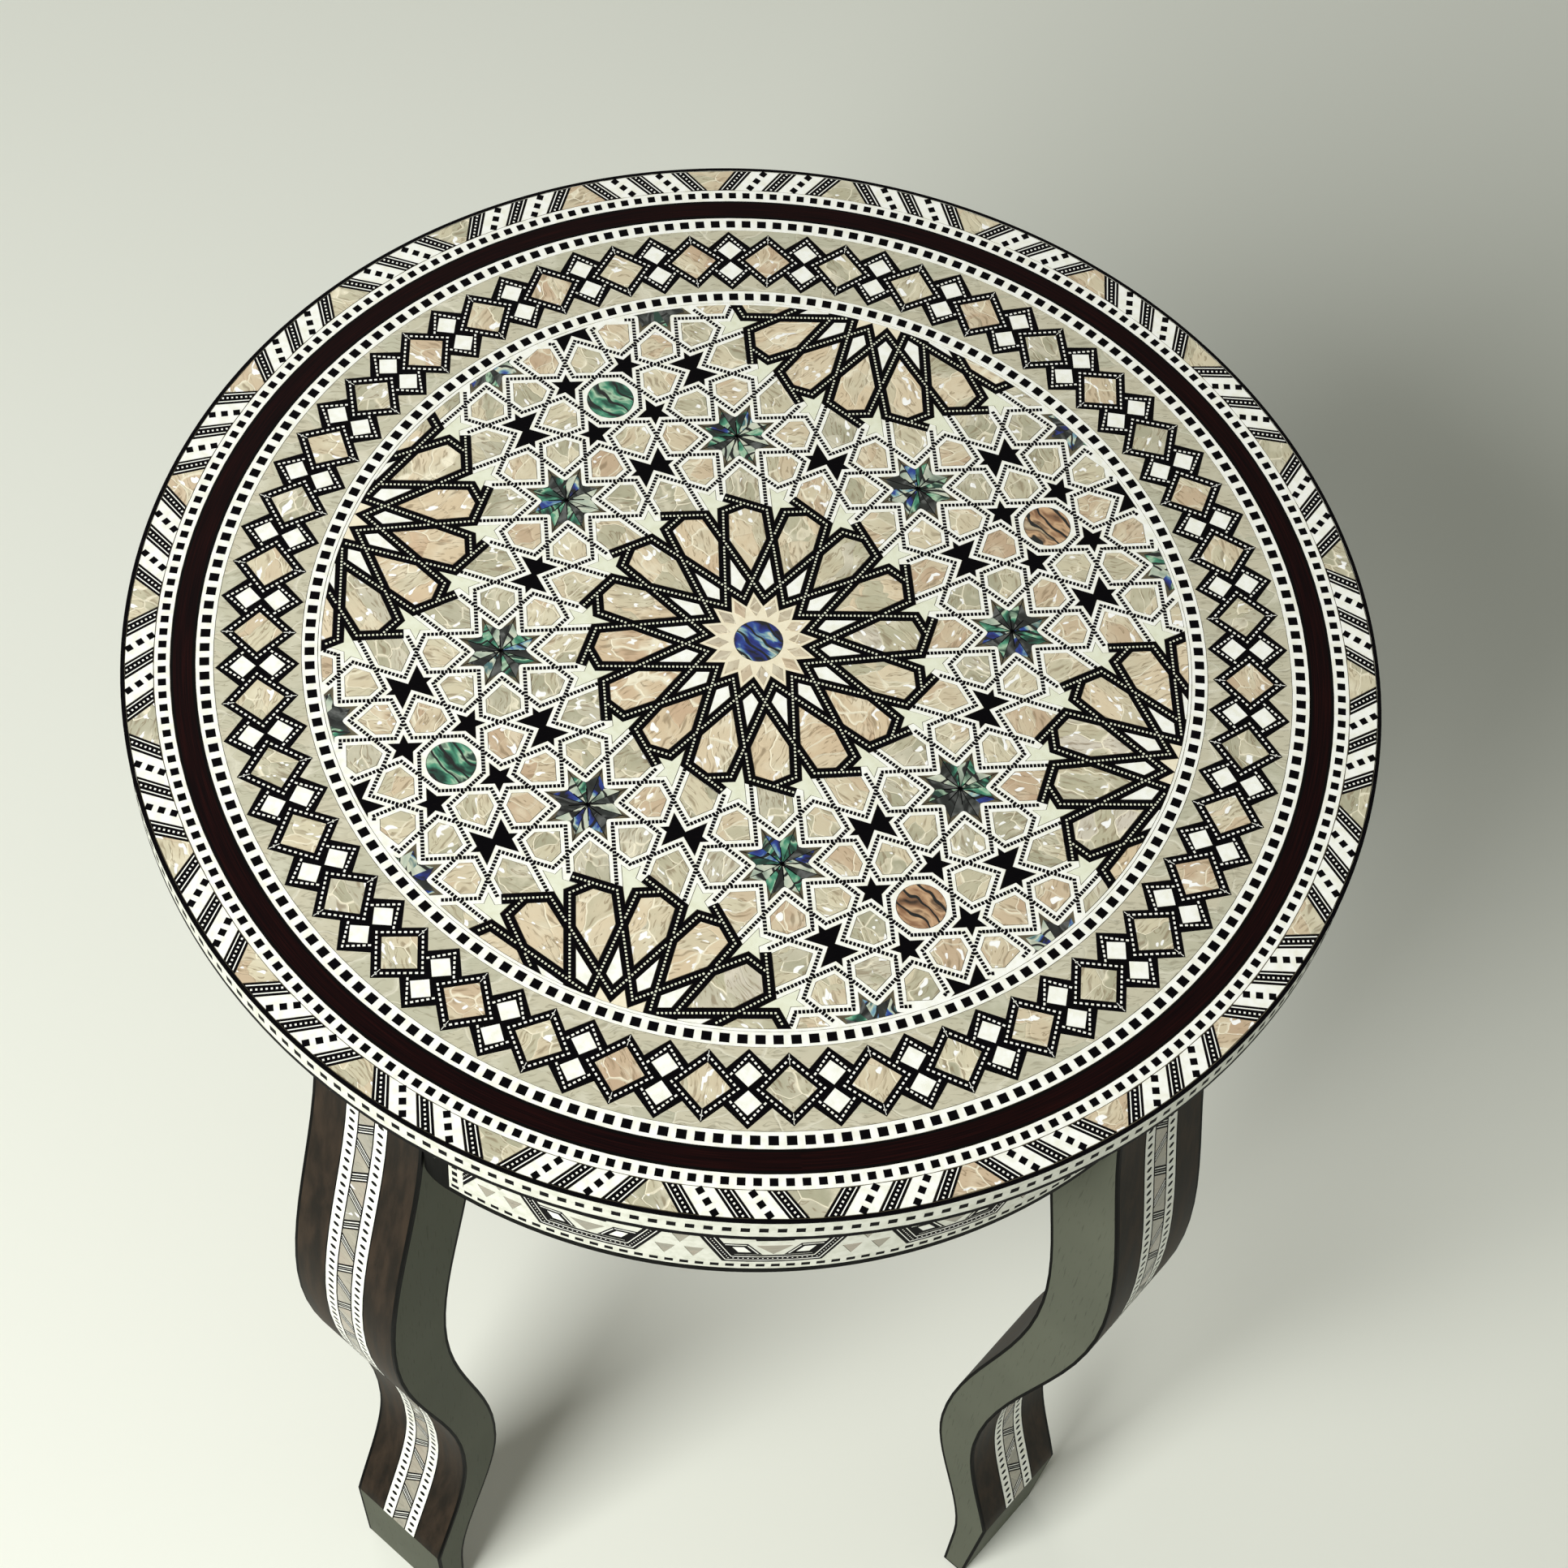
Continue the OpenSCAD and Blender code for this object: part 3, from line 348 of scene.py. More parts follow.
@dataclass(frozen=True)
class Shell(Finish):
    """Mother-of-pearl: split plates with growth lines, pale seams and glints, partly from a tilt of
    each plate and partly painted highlights.
    """

    stops: tuple[Colour, ...] = ((190, 163, 134), (206, 187, 157), (214, 205, 176), (171, 168, 142),
                                 (206, 200, 178))
    seam: Colour = (242, 234, 208)
    # Colour of the darker streaks and creases: partly the shell's own darker growth lines, partly
    # painted shade of plates in relief.
    dark: Colour = (126, 106, 78)
    # Colour of the painted highlights: white spots that stand for glints of the lamps.
    painted_glint: Colour = (255, 255, 252)
    plate: float = 1.35
    seams: float = 0.9
    # Share of the plates that get painted highlights.
    painted_glint_share: float = 0.5
    fibre: float = 1.0
    # Strengths of the darker streaks and thin creases: partly growth lines, partly painted shade of
    # plates in relief.
    worn: float = 0.62
    crease: float = 0.65
    gleam: float = 0.25
    coat: float = 0.1

    def mix(self, bench: Bench) -> None:
        """Plates by their cells, growth lines by stretched noise, glints by a tilt of each plate and
        by painted white highlights.

        Args:
            bench: The node tree.
        """
        spot = bench.sheet()
        tone = bench.tone()
        bent = bench.warp(spot, 0.9, 0.7)
        cell = bench.stretch(bent, 0.8, 1.4)
        edge = bench.plates(cell, self.plate, "DISTANCE_TO_EDGE", "Distance")
        hue = bench.plates(cell, self.plate, "F1", "Color")
        shade = bench.part(hue, "X")
        growth = bench.noise(bench.stretch(bent, 1.0, 4.6), 1.3, 2.5)
        cloud = bench.noise(spot, 1.1, 4.0)
        body = bench.ramp(0.3 * shade + 0.55 * tone + 0.3 * cloud,
                          *zip((0.14, 0.36, 0.56, 0.76, 0.94), self.stops))
        soft = bench.blend(cloud.between(0.5, 0.72) * 0.45, body, self.seam)
        # Darker streaks and thin creases along the growth noise: partly the shell's own growth lines,
        # partly painted shade of plates in relief.
        worn = bench.blend(growth.beyond(0.3, 0.45) * (self.worn * self.fibre), soft, self.dark)
        crease = growth.between(0.59, 0.62) * growth.beyond(0.62, 0.67) * (self.crease * self.fibre)
        creased = bench.blend(crease, worn, self.dark)
        mend = edge.beyond(0.01, 0.06) * (self.seams * bench.part(hue, "Y").between(0.4, 0.6))
        seamed = bench.blend(mend, creased, self.seam)
        # Painted highlights: white spots on some plates that stand for glints of the lamps.
        painted_glint_noise = bench.noise(bench.stretch(bent, 2.0, 3.4), 1.2, 1.0)
        painted_glint_mask = painted_glint_noise.between(0.62, 0.65) * (bench.part(hue, "Z") > 1.0 - self.painted_glint_share)
        with_painted_glints = bench.blend(painted_glint_mask, seamed, self.painted_glint)
        lean = bench.vector("SUBTRACT", hue, (0.5, 0.5, 0.5))
        tilt = bench.part(lean, "X") * bench.part(spot, "X") + bench.part(lean, "Y") * bench.part(
            spot, "Y")
        relief = tilt * 1.2 + growth * 0.3 - edge.beyond(0.0, 0.04) * 0.15
        bench.dress(Base_Color=with_painted_glints, Roughness=0.3 - 0.1 * shade, Metallic=0.1,
                    Normal=bench.bump(relief, 0.5, 0.7), Specular_IOR_Level=self.gleam,
                    Coat_Weight=self.coat, Coat_Roughness=0.08)


@dataclass(frozen=True)
class Abalone(Finish):
    """Abalone shell: dark flow lines between bands of blue, green and tan."""

    line: Colour = (8, 9, 11)
    gleam: float = 0.3
    coat: float = 0.15

    def mix(self, bench: Bench) -> None:
        """Bands that follow a bent flow, coloured by the tone of each piece.

        Args:
            bench: The node tree.
        """
        spot = bench.sheet()
        tone = bench.tone()
        bent = bench.warp(spot, 0.8, 1.1)
        flow = (bench.part(bent, "Y") * 13.0 + 3.0 * bench.part(bent, "X")).sine()
        cloud = bench.noise(bench.stretch(bent, 0.7, 1.5), 1.2)
        blue = bench.ramp(cloud, (0.36, (6, 8, 12)), (0.42, (28, 38, 112)), (0.48, (40, 70, 148)),
                          (0.53, (130, 172, 178)), (0.58, (208, 212, 188)), (0.65, (70, 108, 110)))
        green = bench.ramp(cloud, (0.36, (8, 16, 14)), (0.43, (24, 72, 58)), (0.5, (74, 146, 116)),
                           (0.56, (172, 202, 172)), (0.63, (30, 60, 50)))
        pale = bench.ramp(cloud, (0.3, (90, 104, 92)), (0.42, (172, 186, 168)),
                          (0.56, (208, 212, 192)), (0.7, (136, 150, 136)))
        tan = bench.ramp(cloud, (0.3, (40, 28, 20)), (0.42, (146, 108, 78)), (0.52, (206, 170, 132)),
                         (0.6, (100, 74, 52)), (0.72, (204, 186, 154)))
        dusk = bench.ramp(cloud, (0.3, (12, 13, 13)), (0.46, (36, 40, 38)), (0.56, (92, 94, 92)),
                          (0.66, (20, 24, 23)))
        body = blue
        for start, shade in ((0.2, green), (0.45, pale), (0.6, tan), (0.8, dusk)):
            body = bench.blend(tone.between(start - 0.01, start + 0.01), body, shade)
        lined = bench.blend(flow.between(0.7, 0.9), body, self.line)
        bench.dress(Base_Color=lined, Roughness=0.2 + 0.12 * cloud, Metallic=0.15,
                    Normal=bench.bump(flow * 0.5 + cloud, 0.12, 0.3),
                    Specular_IOR_Level=self.gleam, Coat_Weight=self.coat, Coat_Roughness=0.06)


@dataclass(frozen=True)
class Ebony(Finish):
    """Black wood with a trace of grain under lacquer."""

    black: Colour = (6, 5, 7)
    brown: Colour = (22, 18, 18)
    gleam: float = 0.02

    def mix(self, bench: Bench) -> None:
        """Fine streaks that only show in the light.

        Args:
            bench: The node tree.
        """
        grain = bench.noise(bench.place((0.3, 2.4, 1.0)), 1.6)
        tint = bench.blend(grain.between(0.5, 0.85) * 0.6, self.black, self.brown)
        bench.dress(Base_Color=tint, Roughness=0.4 + 0.14 * grain,
                    Normal=bench.bump(grain, 0.02, 0.3), Specular_IOR_Level=self.gleam)


@dataclass(frozen=True)
class RingWood(Finish):
    """Dark red-brown wood bent round the ring, with a black line at each edge."""

    inner: float = 177.0
    outer: float = 184.6
    line: float = 0.9
    black: Colour = (10, 2, 3)
    red: Colour = (34, 10, 9)
    edge: Colour = (5, 4, 4)
    gleam: float = 0.04

    def mix(self, bench: Bench) -> None:
        """Grain that follows the ring.

        Args:
            bench: The node tree.
        """
        spot = bench.place((1.0, 1.0, 0.0))
        radius = bench.node("ShaderNodeVectorMath", {"operation": "LENGTH"}, {0: spot}, "Value")
        turn = bench.part(spot, "X").maths("ARCTAN2", bench.part(spot, "Y"))
        along = bench.node("ShaderNodeCombineXYZ", sockets={0: radius * 2.4, 1: turn * 6.0})
        grain = bench.noise(along, 1.2, 4.0)
        tint = bench.blend(grain.between(0.35, 0.8), self.black, self.red)
        rim = radius.beyond(self.inner + self.line * 0.8, self.inner + self.line) + radius.between(
            self.outer - self.line, self.outer - self.line * 0.8)
        bench.dress(Base_Color=bench.blend(rim, tint, self.edge), Roughness=0.3 + 0.1 * grain,
                    Normal=bench.bump(grain, 0.02, 0.25), Specular_IOR_Level=self.gleam)


@dataclass(frozen=True)
class GrainedWood(Finish):
    """Stained wood with upright grain; the tone darkens arrises and greys sawn sides."""

    pale: Colour = (55, 44, 34)
    deep: Colour = (28, 23, 17)
    side: Colour = (86, 89, 77)
    worn: Colour = (103, 106, 92)
    edge: Colour = (5, 5, 4)
    pore: Colour = (20, 16, 12)
    roughness: float = 0.4
    gleam: float = 0.02
    coat: float = 0.04

    def mix(self, bench: Bench) -> None:
        """Long streaks, pores and worn patches.

        Args:
            bench: The node tree.
        """
        tone = bench.tone()
        bent = bench.warp(bench.place((1.0, 1.0, 0.12)), 0.02, 14.0)
        streak = bench.noise(bent, 0.22, 4.0)
        pores = bench.noise(bench.place((1.0, 1.0, 0.05)), 1.9, 2.0)
        patch = bench.noise(bench.place(), 0.018, 2.0)
        face = bench.blend(streak.between(0.3, 0.75), self.deep, self.pale)
        flank = bench.blend(patch.between(0.3, 0.8) * 0.35 + streak * 0.25, self.side, self.worn)
        body = bench.blend(tone.between(0.2, 0.3), face, flank)
        edged = bench.blend(tone.between(0.7, 0.8), body, self.edge)
        pored = bench.blend(pores.between(0.6, 0.75) * 0.35, edged, self.pore)
        bench.dress(Base_Color=pored, Roughness=self.roughness + 0.15 * streak,
                    Normal=bench.bump(pores, 0.06, 0.35), Specular_IOR_Level=self.gleam,
                    Coat_Weight=self.coat * tone.beyond(0.1, 0.2), Coat_Roughness=0.25)


@dataclass(frozen=True)
class Steel(Finish):
    """Zinc-plated steel."""

    def mix(self, bench: Bench) -> None:
        """Turning marks and dull patches.

        Args:
            bench: The node tree.
        """
        marks = bench.noise(bench.place((1.0, 1.0, 4.0)), 0.9)
        tint = bench.blend(marks, (150, 152, 154), (190, 192, 192))
        bench.dress(Base_Color=tint, Metallic=1.0, Roughness=0.3 + 0.2 * marks,
                    Normal=bench.bump(marks, 0.02, 0.3))


@dataclass(frozen=True)
class Paper(Finish):
    """The matt pale sheet that the table stands on."""

    pale: Colour = (248, 250, 240)
    cool: Colour = (243, 246, 234)

    def mix(self, bench: Bench) -> None:
        """Broad faint clouds.

        Args:
            bench: The node tree.
        """
        cloud = bench.noise(bench.place(), 0.0016, 2.0)
        bench.dress(Base_Color=bench.blend(cloud, self.pale, self.cool), Roughness=0.9,
                    Specular_IOR_Level=0.1)


BONE = Bone("polished_bone", Slot.BONE)
STAR_BONE = Bone("cream_bone", Slot.BONE, pale=(233, 236, 214), warm=(224, 226, 200))
HEART_BONE = Bone("warm_bone", Slot.BONE, pale=(243, 234, 207), warm=(233, 222, 192))
# A darker copy of the bone for upright faces: painted shade, as they stand more in shade than the top.
SHADED_SIDE_BONE = Bone("painted_shade_bone", Slot.BONE, pale=(230, 231, 218), warm=(210, 211, 195))
GLUE = Bone("glue_line", Slot.BONE, pale=(96, 88, 66), warm=(68, 60, 44))
TILE_SHELL = Shell("tile_shell", Slot.PEARL)
PETAL_SHELL = Shell("petal_shell", Slot.PEARL, plate=1.0, seams=1.0, painted_glint_share=0.4, stops=(
    (200, 170, 139), (216, 196, 163), (222, 207, 177), (185, 181, 153), (210, 202, 186)))
GROUND_SHELL = Shell("ground_shell", Slot.PEARL, plate=0.7, seams=0.6, painted_glint_share=0.0, stops=(
    (198, 190, 166), (204, 197, 173), (197, 192, 168), (184, 183, 160), (202, 199, 178)),
    seam=(224, 220, 200), dark=(148, 142, 120))
# A darker, greyer copy of the shell for upright faces: painted shade, as they stand more in shade than
# the top.
SHADED_SIDE_SHELL = Shell("painted_shade_shell", Slot.PEARL, plate=0.9, seams=0.3, painted_glint_share=0.05, fibre=0.5, stops=(
    (172, 156, 139), (168, 158, 142), (160, 154, 138), (148, 146, 132), (166, 160, 146)),
    seam=(190, 182, 164), dark=(108, 98, 82))
HEART_SHELL = Shell("heart_shell", Slot.PEARL, plate=0.9, seams=0.6, painted_glint_share=0.2, fibre=0.7, stops=(
    (196, 172, 146), (206, 188, 160), (198, 184, 158), (186, 176, 154), (214, 200, 176)))
ABALONE = Abalone("abalone_shell", Slot.ABALONE)
EBONY = Ebony("black_wood", Slot.EBONY)
RING_WOOD = RingWood("ring_wood", Slot.DARK_WOOD)
LEG_WOOD = GrainedWood("leg_wood_stain", Slot.LEG_WOOD)
PLAIN_WOOD = GrainedWood("bare_beech", Slot.PLAIN_WOOD, pale=(196, 160, 118), deep=(168, 130, 90),
                         side=(190, 154, 112), roughness=0.6, coat=0.0)
STEEL = Steel("zinc_steel", Slot.STEEL)
PAPER = Paper("studio_paper", Slot.BONE)


def polar(radius: float, degrees: float) -> Vector:
    """A flat point from its radius and angle."""
    return Vector((radius * math.cos(math.radians(degrees)), radius * math.sin(math.radians(degrees))))


def turned(point: Vector, degrees: float) -> Vector:
    """A flat point turned about the origin."""
    return point @ Matrix.Rotation(math.radians(-degrees), 2)


def bearing(x: float, y: float) -> float:
    """The angle of a flat direction in degrees."""
    return math.degrees(math.atan2(y, x))


def centroid(points: Sequence[Vector]) -> Vector:
    """The mean of some flat points."""
    return sum(points, ORIGIN) / len(points)


def crossing(p: Vector, u: Vector, q: Vector, v: Vector) -> Vector:
    """Finds where two lines cross.

    Args:
        p: A point of the first line.
        u: Direction of the first line.
        q: A point of the second line.
        v: Direction of the second line.

    Returns:
        The crossing, or p where the lines run side by side.
    """
    turn = u.x * v.y - u.y * v.x
    if abs(turn) < TINY:
        return p
    return p + u * (((q.x - p.x) * v.y - (q.y - p.y) * v.x) / turn)


def outset(outline: Outline, distance: float) -> list[Vector]:
    """Moves every side of an outline outwards.

    Args:
        outline: The corners, anticlockwise.
        distance: How far; a number under 0 moves them inwards.

    Returns:
        The new corners.
    """
    count = len(outline)
    sides = [(outline[(i + 1) % count] - outline[i]).normalized() for i in range(count)]
    moved = [outline[i] + distance * Vector((sides[i].y, -sides[i].x)) for i in range(count)]
    return [crossing(moved[i - 1], sides[i - 1], moved[i], sides[i]) for i in range(count)]


def ribbon(start: Vector, end: Vector, width: float) -> list[Vector]:
    """Outlines a straight line of some width.

    Args:
        start: Where it starts.
        end: Where it ends.
        width: Its width.

    Returns:
        Its four corners.
    """
    along = (end - start).normalized()
    aside = Vector((-along.y, along.x)) * width / 2
    return [start - aside, end - aside, end + aside, start + aside]


def seeded(seed: int) -> random.Random:
    """A dataclass field whose default is a random source with its own seed."""
    return field(default_factory=lambda: random.Random(seed))


def picked(geometry: Iterable[object], kind: type) -> list:
    """The parts of a mesh that are of one kind."""
    return [part for part in geometry if isinstance(part, kind)]


def link(name: str, data: bpy.types.ID) -> bpy.types.Object:
    """Makes an object and puts it in the scene.

    Args:
        name: Name of the object.
        data: Its mesh, lamp or camera.

    Returns:
        The object.
    """
    made = bpy.data.objects.new(name, data)
    bpy.context.scene.collection.objects.link(made)
    return made


@dataclass(frozen=True)
class TopSheet:
    """The top face of the table: x and y as they are."""

    z: float

    def lay(self, x: float, y: float, rise: float) -> Vector:
        """The place of a point of the sheet."""
        return Vector((x, y, self.z + rise))


@dataclass(frozen=True)
class HoopSheet:
    """An upright hoop: x along it from an azimuth, y the height."""

    radius: float
    azimuth: float = 0.0

    def lay(self, x: float, y: float, rise: float) -> Vector:
        """The place of a point of the sheet."""
        flat = polar(self.radius + rise, self.azimuth + math.degrees(x / self.radius))
        return Vector((flat.x, flat.y, y))


@dataclass(frozen=True)
class LegSheet:
    """The outer face of a leg: x across it, y the height."""

    azimuth: float
    profile: tuple[tuple[float, float], ...]

    def radius(self, height: float) -> float:
        """Reads the profile of the face.

        Args:
            height: Height over the floor.

        Returns:
            Distance of the face from the table's axis at that height.
        """
        rows = self.profile
        for (z0, r0), (z1, r1) in zip(rows, rows[1:]):
            if height <= z1:
                return r0 + (r1 - r0) * (height - z0) / (z1 - z0)
        return rows[-1][1]

    def lay(self, x: float, y: float, rise: float) -> Vector:
        """Finds the place of a point of the sheet.

        Args:
            x: Distance across the leg from its middle.
            y: Height over the floor.
            rise: Distance out from the face.

        Returns:
            The place.
        """
        slope = (self.radius(y + 1.0) - self.radius(y - 1.0)) / 2.0
        reach = self.radius(y) + rise * math.hypot(1.0, slope)
        flat = turned(Vector((reach, x)), self.azimuth)
        return Vector((flat.x, flat.y, y))

    def bends(self) -> list[float]:
        """The heights at which the face bends."""
        return [height for height, _ in self.profile[1:-1]]


Sheet = TopSheet | HoopSheet | LegSheet
TOP = TopSheet(TABLE_H)


class Piece:
    """A mesh in millimetres that becomes one named piece of the table."""

    def __init__(self) -> None:
        """Starts an empty mesh with room for sheet places and tones."""
        self.mesh = bmesh.new()
        self.cut = self.mesh.loops.layers.uv.new(CUT)
        self.tone = self.mesh.faces.layers.float.new(TONE)

    def mark(self, faces: Iterable[Face], turn: float, shift: Vector,
             tone: float, sheet: bool = True) -> None:
        """Gives faces their place on a sheet of shell and their tone.

        Args:
            faces: The faces of one cut piece.
            turn: Angle in degrees of the cut on the sheet.
            shift: Where on the sheet it was cut, in sheet units.
            tone: Number from 0 to 1 that tells it from its fellows.
            sheet: Whether the piece lies flat; otherwise its height is used for y.
        """
        for face in faces:
            face[self.tone] = tone
            for loop in face.loops:
                spot = loop.vert.co
                flat = spot.xy if sheet else Vector((math.hypot(spot.x, spot.y) * math.atan2(
                    spot.y, spot.x), spot.z))
                loop[self.cut].uv = turned(flat, turn) / CUT_UNIT + shift

    def split(self, spot: Sequence[float], normal: Sequence[float], clear: bool = False,
              snap: float = SNAP) -> None:
        """Cuts the whole mesh along a plane.

        Args:
            spot: A point of the plane.
            normal: The plane's direction.
            clear: Whether what lies beyond the plane is taken away.
            snap: How near to the plane a corner counts as on it.
        """
        geometry = self.mesh.verts[:] + self.mesh.edges[:] + self.mesh.faces[:]
        bmesh.ops.bisect_plane(self.mesh, geom=geometry, dist=snap, clear_outer=clear,
                               plane_co=spot, plane_no=normal)

    def finish(self, name: str, finish: Finish, nodes: Sequence[str] = (),
               smooth: float = 0.0) -> None:
        """Makes the piece an object in metres that rides on the table.

        Args:
            name: Name of the piece.
            finish: Its surface finish.
            nodes: CAD nodes that it stands for.
            smooth: Largest angle in degrees between faces that are shaded as one.
        """
        bmesh.ops.scale(self.mesh, vec=(MM, MM, MM), verts=self.mesh.verts)
        if smooth:
            for face in self.mesh.faces:
                face.smooth = True
            for edge in self.mesh.edges:
                edge.smooth = edge.calc_face_angle(0.0) < math.radians(smooth)
        data = bpy.data.meshes.new(name)
        self.mesh.to_mesh(data)
        self.mesh.free()
        data.materials.append(finish.material())
        piece = link(name, data)
        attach(piece, BODY)
        if nodes:
            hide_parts(*nodes)
        LOG.info("%s: %d faces, %s", name, len(data.polygons), finish.name)


class Copy(Piece):
    """A merged copy of a CAD node, which may be sunk and marked before it is polished."""

    def __init__(self, node: str, tidy: bool = True) -> None:
        """Copies the node in millimetres.

        Args:
            node: The CAD node.
            tidy: Whether flat neighbours are joined, which a face with holes can't bear.
        """
        super().__init__()
        self.node = node
        self.mesh.from_mesh(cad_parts[node].data)
        self.cut = self.mesh.loops.layers.uv.get(CUT) or self.mesh.loops.layers.uv.new(CUT)
        self.tone = self.mesh.faces.layers.float.get(TONE) or self.mesh.faces.layers.float.new(TONE)
        bmesh.ops.remove_doubles(self.mesh, verts=self.mesh.verts, dist=TINY)
        bmesh.ops.scale(self.mesh, vec=(1 / MM, 1 / MM, 1 / MM), verts=self.mesh.verts)
        if tidy:
            bmesh.ops.dissolve_limit(self.mesh, angle_limit=math.radians(0.2),
                                     verts=self.mesh.verts, edges=self.mesh.edges)

    def islands(self) -> list[list[Face]]:
        """Sorts the faces by solid.

        Returns:
            The faces of each separate solid, in a steady order.
        """
        seen: set[Face] = set()
        found = []
        for first in self.mesh.faces:
            if first in seen:
                continue
            seen.add(first)
            group = [first]
            for face in group:
                for edge in face.edges:
                    for other in edge.link_faces:
                        if other not in seen:
                            seen.add(other)
                            group.append(other)
            found.append(group)
        return found

    def outlines(self) -> list[list[Vector]]:
        """The outlines of the faces that lie in the table's top, anticlockwise."""
        return [[vert.co.xy for vert in face.verts] for face in self.mesh.faces
                if face.normal.z > FACING and abs(face.calc_center_median().z - TABLE_H) < NEAR]

    def mark_islands(self, dice: random.Random, sheet: bool = True) -> "Copy":
        """Cuts each solid from its own place on the shell, with its long way along the grain.

        Args:
            dice: What the places, tilts and tones are drawn from.
            sheet: Whether the solids lie flat.

        Returns:
            The copy itself.
        """
        for group in self.islands():
            points = [vert.co.xy if sheet else vert.co.zx for face in group[:1] for vert in face.verts]
            middle = centroid(points)
            far = max(points, key=lambda point: (point - middle).length)
            axis = bearing(far.x - middle.x, far.y - middle.y) if sheet else 0.0
            shift = Vector([dice.uniform(-SHELL_W / 2, SHELL_W / 2) for _ in range(2)])
            self.mark(group, dice.uniform(-TILT, TILT) - axis, shift, dice.random(), sheet)
        return self

    def sink(self, depth: float) -> "Copy":
        """Lowers the top face.

        Args:
            depth: How far.

        Returns:
            The copy itself.
        """
        for vert in self.mesh.verts:
            if vert.co.z > TABLE_H - LEVEL:
                vert.co.z -= depth
        return self

    def polish(self, finish: Finish, name: str = "", smooth: float = 0.0) -> None:
        """Finishes the copy in place of its node, and names it after the node or as asked."""
        self.finish("polished_" + (name or self.node), finish, [self.node], smooth)


class Tabs(Piece):
    """Thin flat shapes cut in a sheet's own plane and then bent on to it."""

    def __init__(self, sheet: Sheet, top: float = 0.0, depth: float = 0.1) -> None:
        """Starts a set of tabs.

        Args:
            sheet: What they lie on.
            top: Height of their faces over the sheet.
            depth: Their thickness.
        """
        super().__init__()
        self.sheet = sheet
        self.top = top
        self.depth = depth

    def add(self, outline: Outline, turn: float = 0.0, shift: Vector = ORIGIN,
            tone: float = 0.5) -> None:
        """Cuts one tab from its outline, marked as in mark()."""
        face = self.mesh.faces.new([self.mesh.verts.new((p.x, p.y, 0.0)) for p in outline])
        self.mark([face], turn, shift, tone)

    def slice(self, axis: int, places: Iterable[float]) -> None:
        """Scores the tabs across so that they can bend.

        Args:
            axis: The axis that the scores cross, 0 for x and 1 for y.
            places: Where on it they lie.
        """
        normal = Vector((1.0, 0.0, 0.0)) if axis == 0 else Vector((0.0, 1.0, 0.0))
        for place in places:
            self.split(normal * place, normal)

    def trim(self, reach: float) -> None:
        """Cuts off what lies farther than a reach from the middle of the sheet along x."""
        for side in (-1.0, 1.0):
            self.split((side * reach, 0.0, 0.0), (side, 0.0, 0.0), clear=True)

    def bend(self) -> None:
        """Gives the tabs their thickness and lays them on the sheet."""
        made = bmesh.ops.extrude_face_region(self.mesh, geom=self.mesh.faces[:])
        lower = picked(made["geom"], Vert)
        bmesh.ops.translate(self.mesh, vec=(0.0, 0.0, -self.depth), verts=lower)
        for vert in self.mesh.verts:
            vert.co = self.sheet.lay(vert.co.x, vert.co.y, self.top + vert.co.z)
        bmesh.ops.recalc_face_normals(self.mesh, faces=self.mesh.faces)

    def lay(self, name: str, finish: Finish, smooth: float = 0.0) -> None:
        """Bends the tabs on to their sheet and finishes them."""
        self.bend()
        self.finish(name, finish, smooth=smooth)


class Dots(Piece):
    """Many small pegs of one shape, set along lines."""

    def __init__(self, sheet: Sheet, across: float, along: float, top: float = 0.0,
                 depth: float = 0.12, sides: int = 4) -> None:
        """Makes the peg.

        Args:
            sheet: What the pegs are set in.
            across: Width of a peg across its line.
            along: Length of a peg along its line.
            top: Height of their faces over the sheet.
            depth: Their length into it.
            sides: Sides of a peg, 4 for a square one.
        """
        super().__init__()
        self.sheet = sheet
        self.top = top
        peg = bmesh.new()
        bmesh.ops.create_cone(peg, cap_ends=True, segments=sides, radius1=0.5, radius2=0.5,
                              depth=1.0, matrix=Matrix.Rotation(math.pi / sides, 4, "Z"))
        flat = 1.0 / math.cos(math.pi / sides)
        bmesh.ops.translate(peg, vec=(0.0, 0.0, -0.5), verts=peg.verts)
        bmesh.ops.scale(peg, vec=(along * flat, across * flat, depth), verts=peg.verts)
        self.shape = [part for vert in peg.verts for part in vert.co]
        self.peg = bpy.data.meshes.new("peg")
        peg.to_mesh(self.peg)
        peg.free()

    def add(self, x: float, y: float, degrees: float) -> None:
        """Sets a peg.

        Args:
            x: Place along the sheet.
            y: Place up or across the sheet.
            degrees: Direction of its line on the sheet.
        """
        spot = self.sheet.lay(x, y, self.top)
        along = polar(0.5, degrees)
        ahead = self.sheet.lay(x + along.x, y + along.y, self.top) - spot
        aside = self.sheet.lay(x - along.y, y + along.x, self.top) - spot
        up = ahead.cross(aside).normalized()
        ahead.normalize()
        pose = Matrix((ahead, up.cross(ahead), up)).transposed().to_4x4()
        pose.translation = spot
        self.peg.vertices.foreach_set("co", self.shape)
        self.peg.transform(pose)
        self.mesh.from_mesh(self.peg)

    def add_all(self, rows: Iterable[tuple[Vector, float]]) -> None:
        """Sets a peg at each of some places with a direction."""
        for spot, degrees in rows:
            self.add(spot.x, spot.y, degrees)


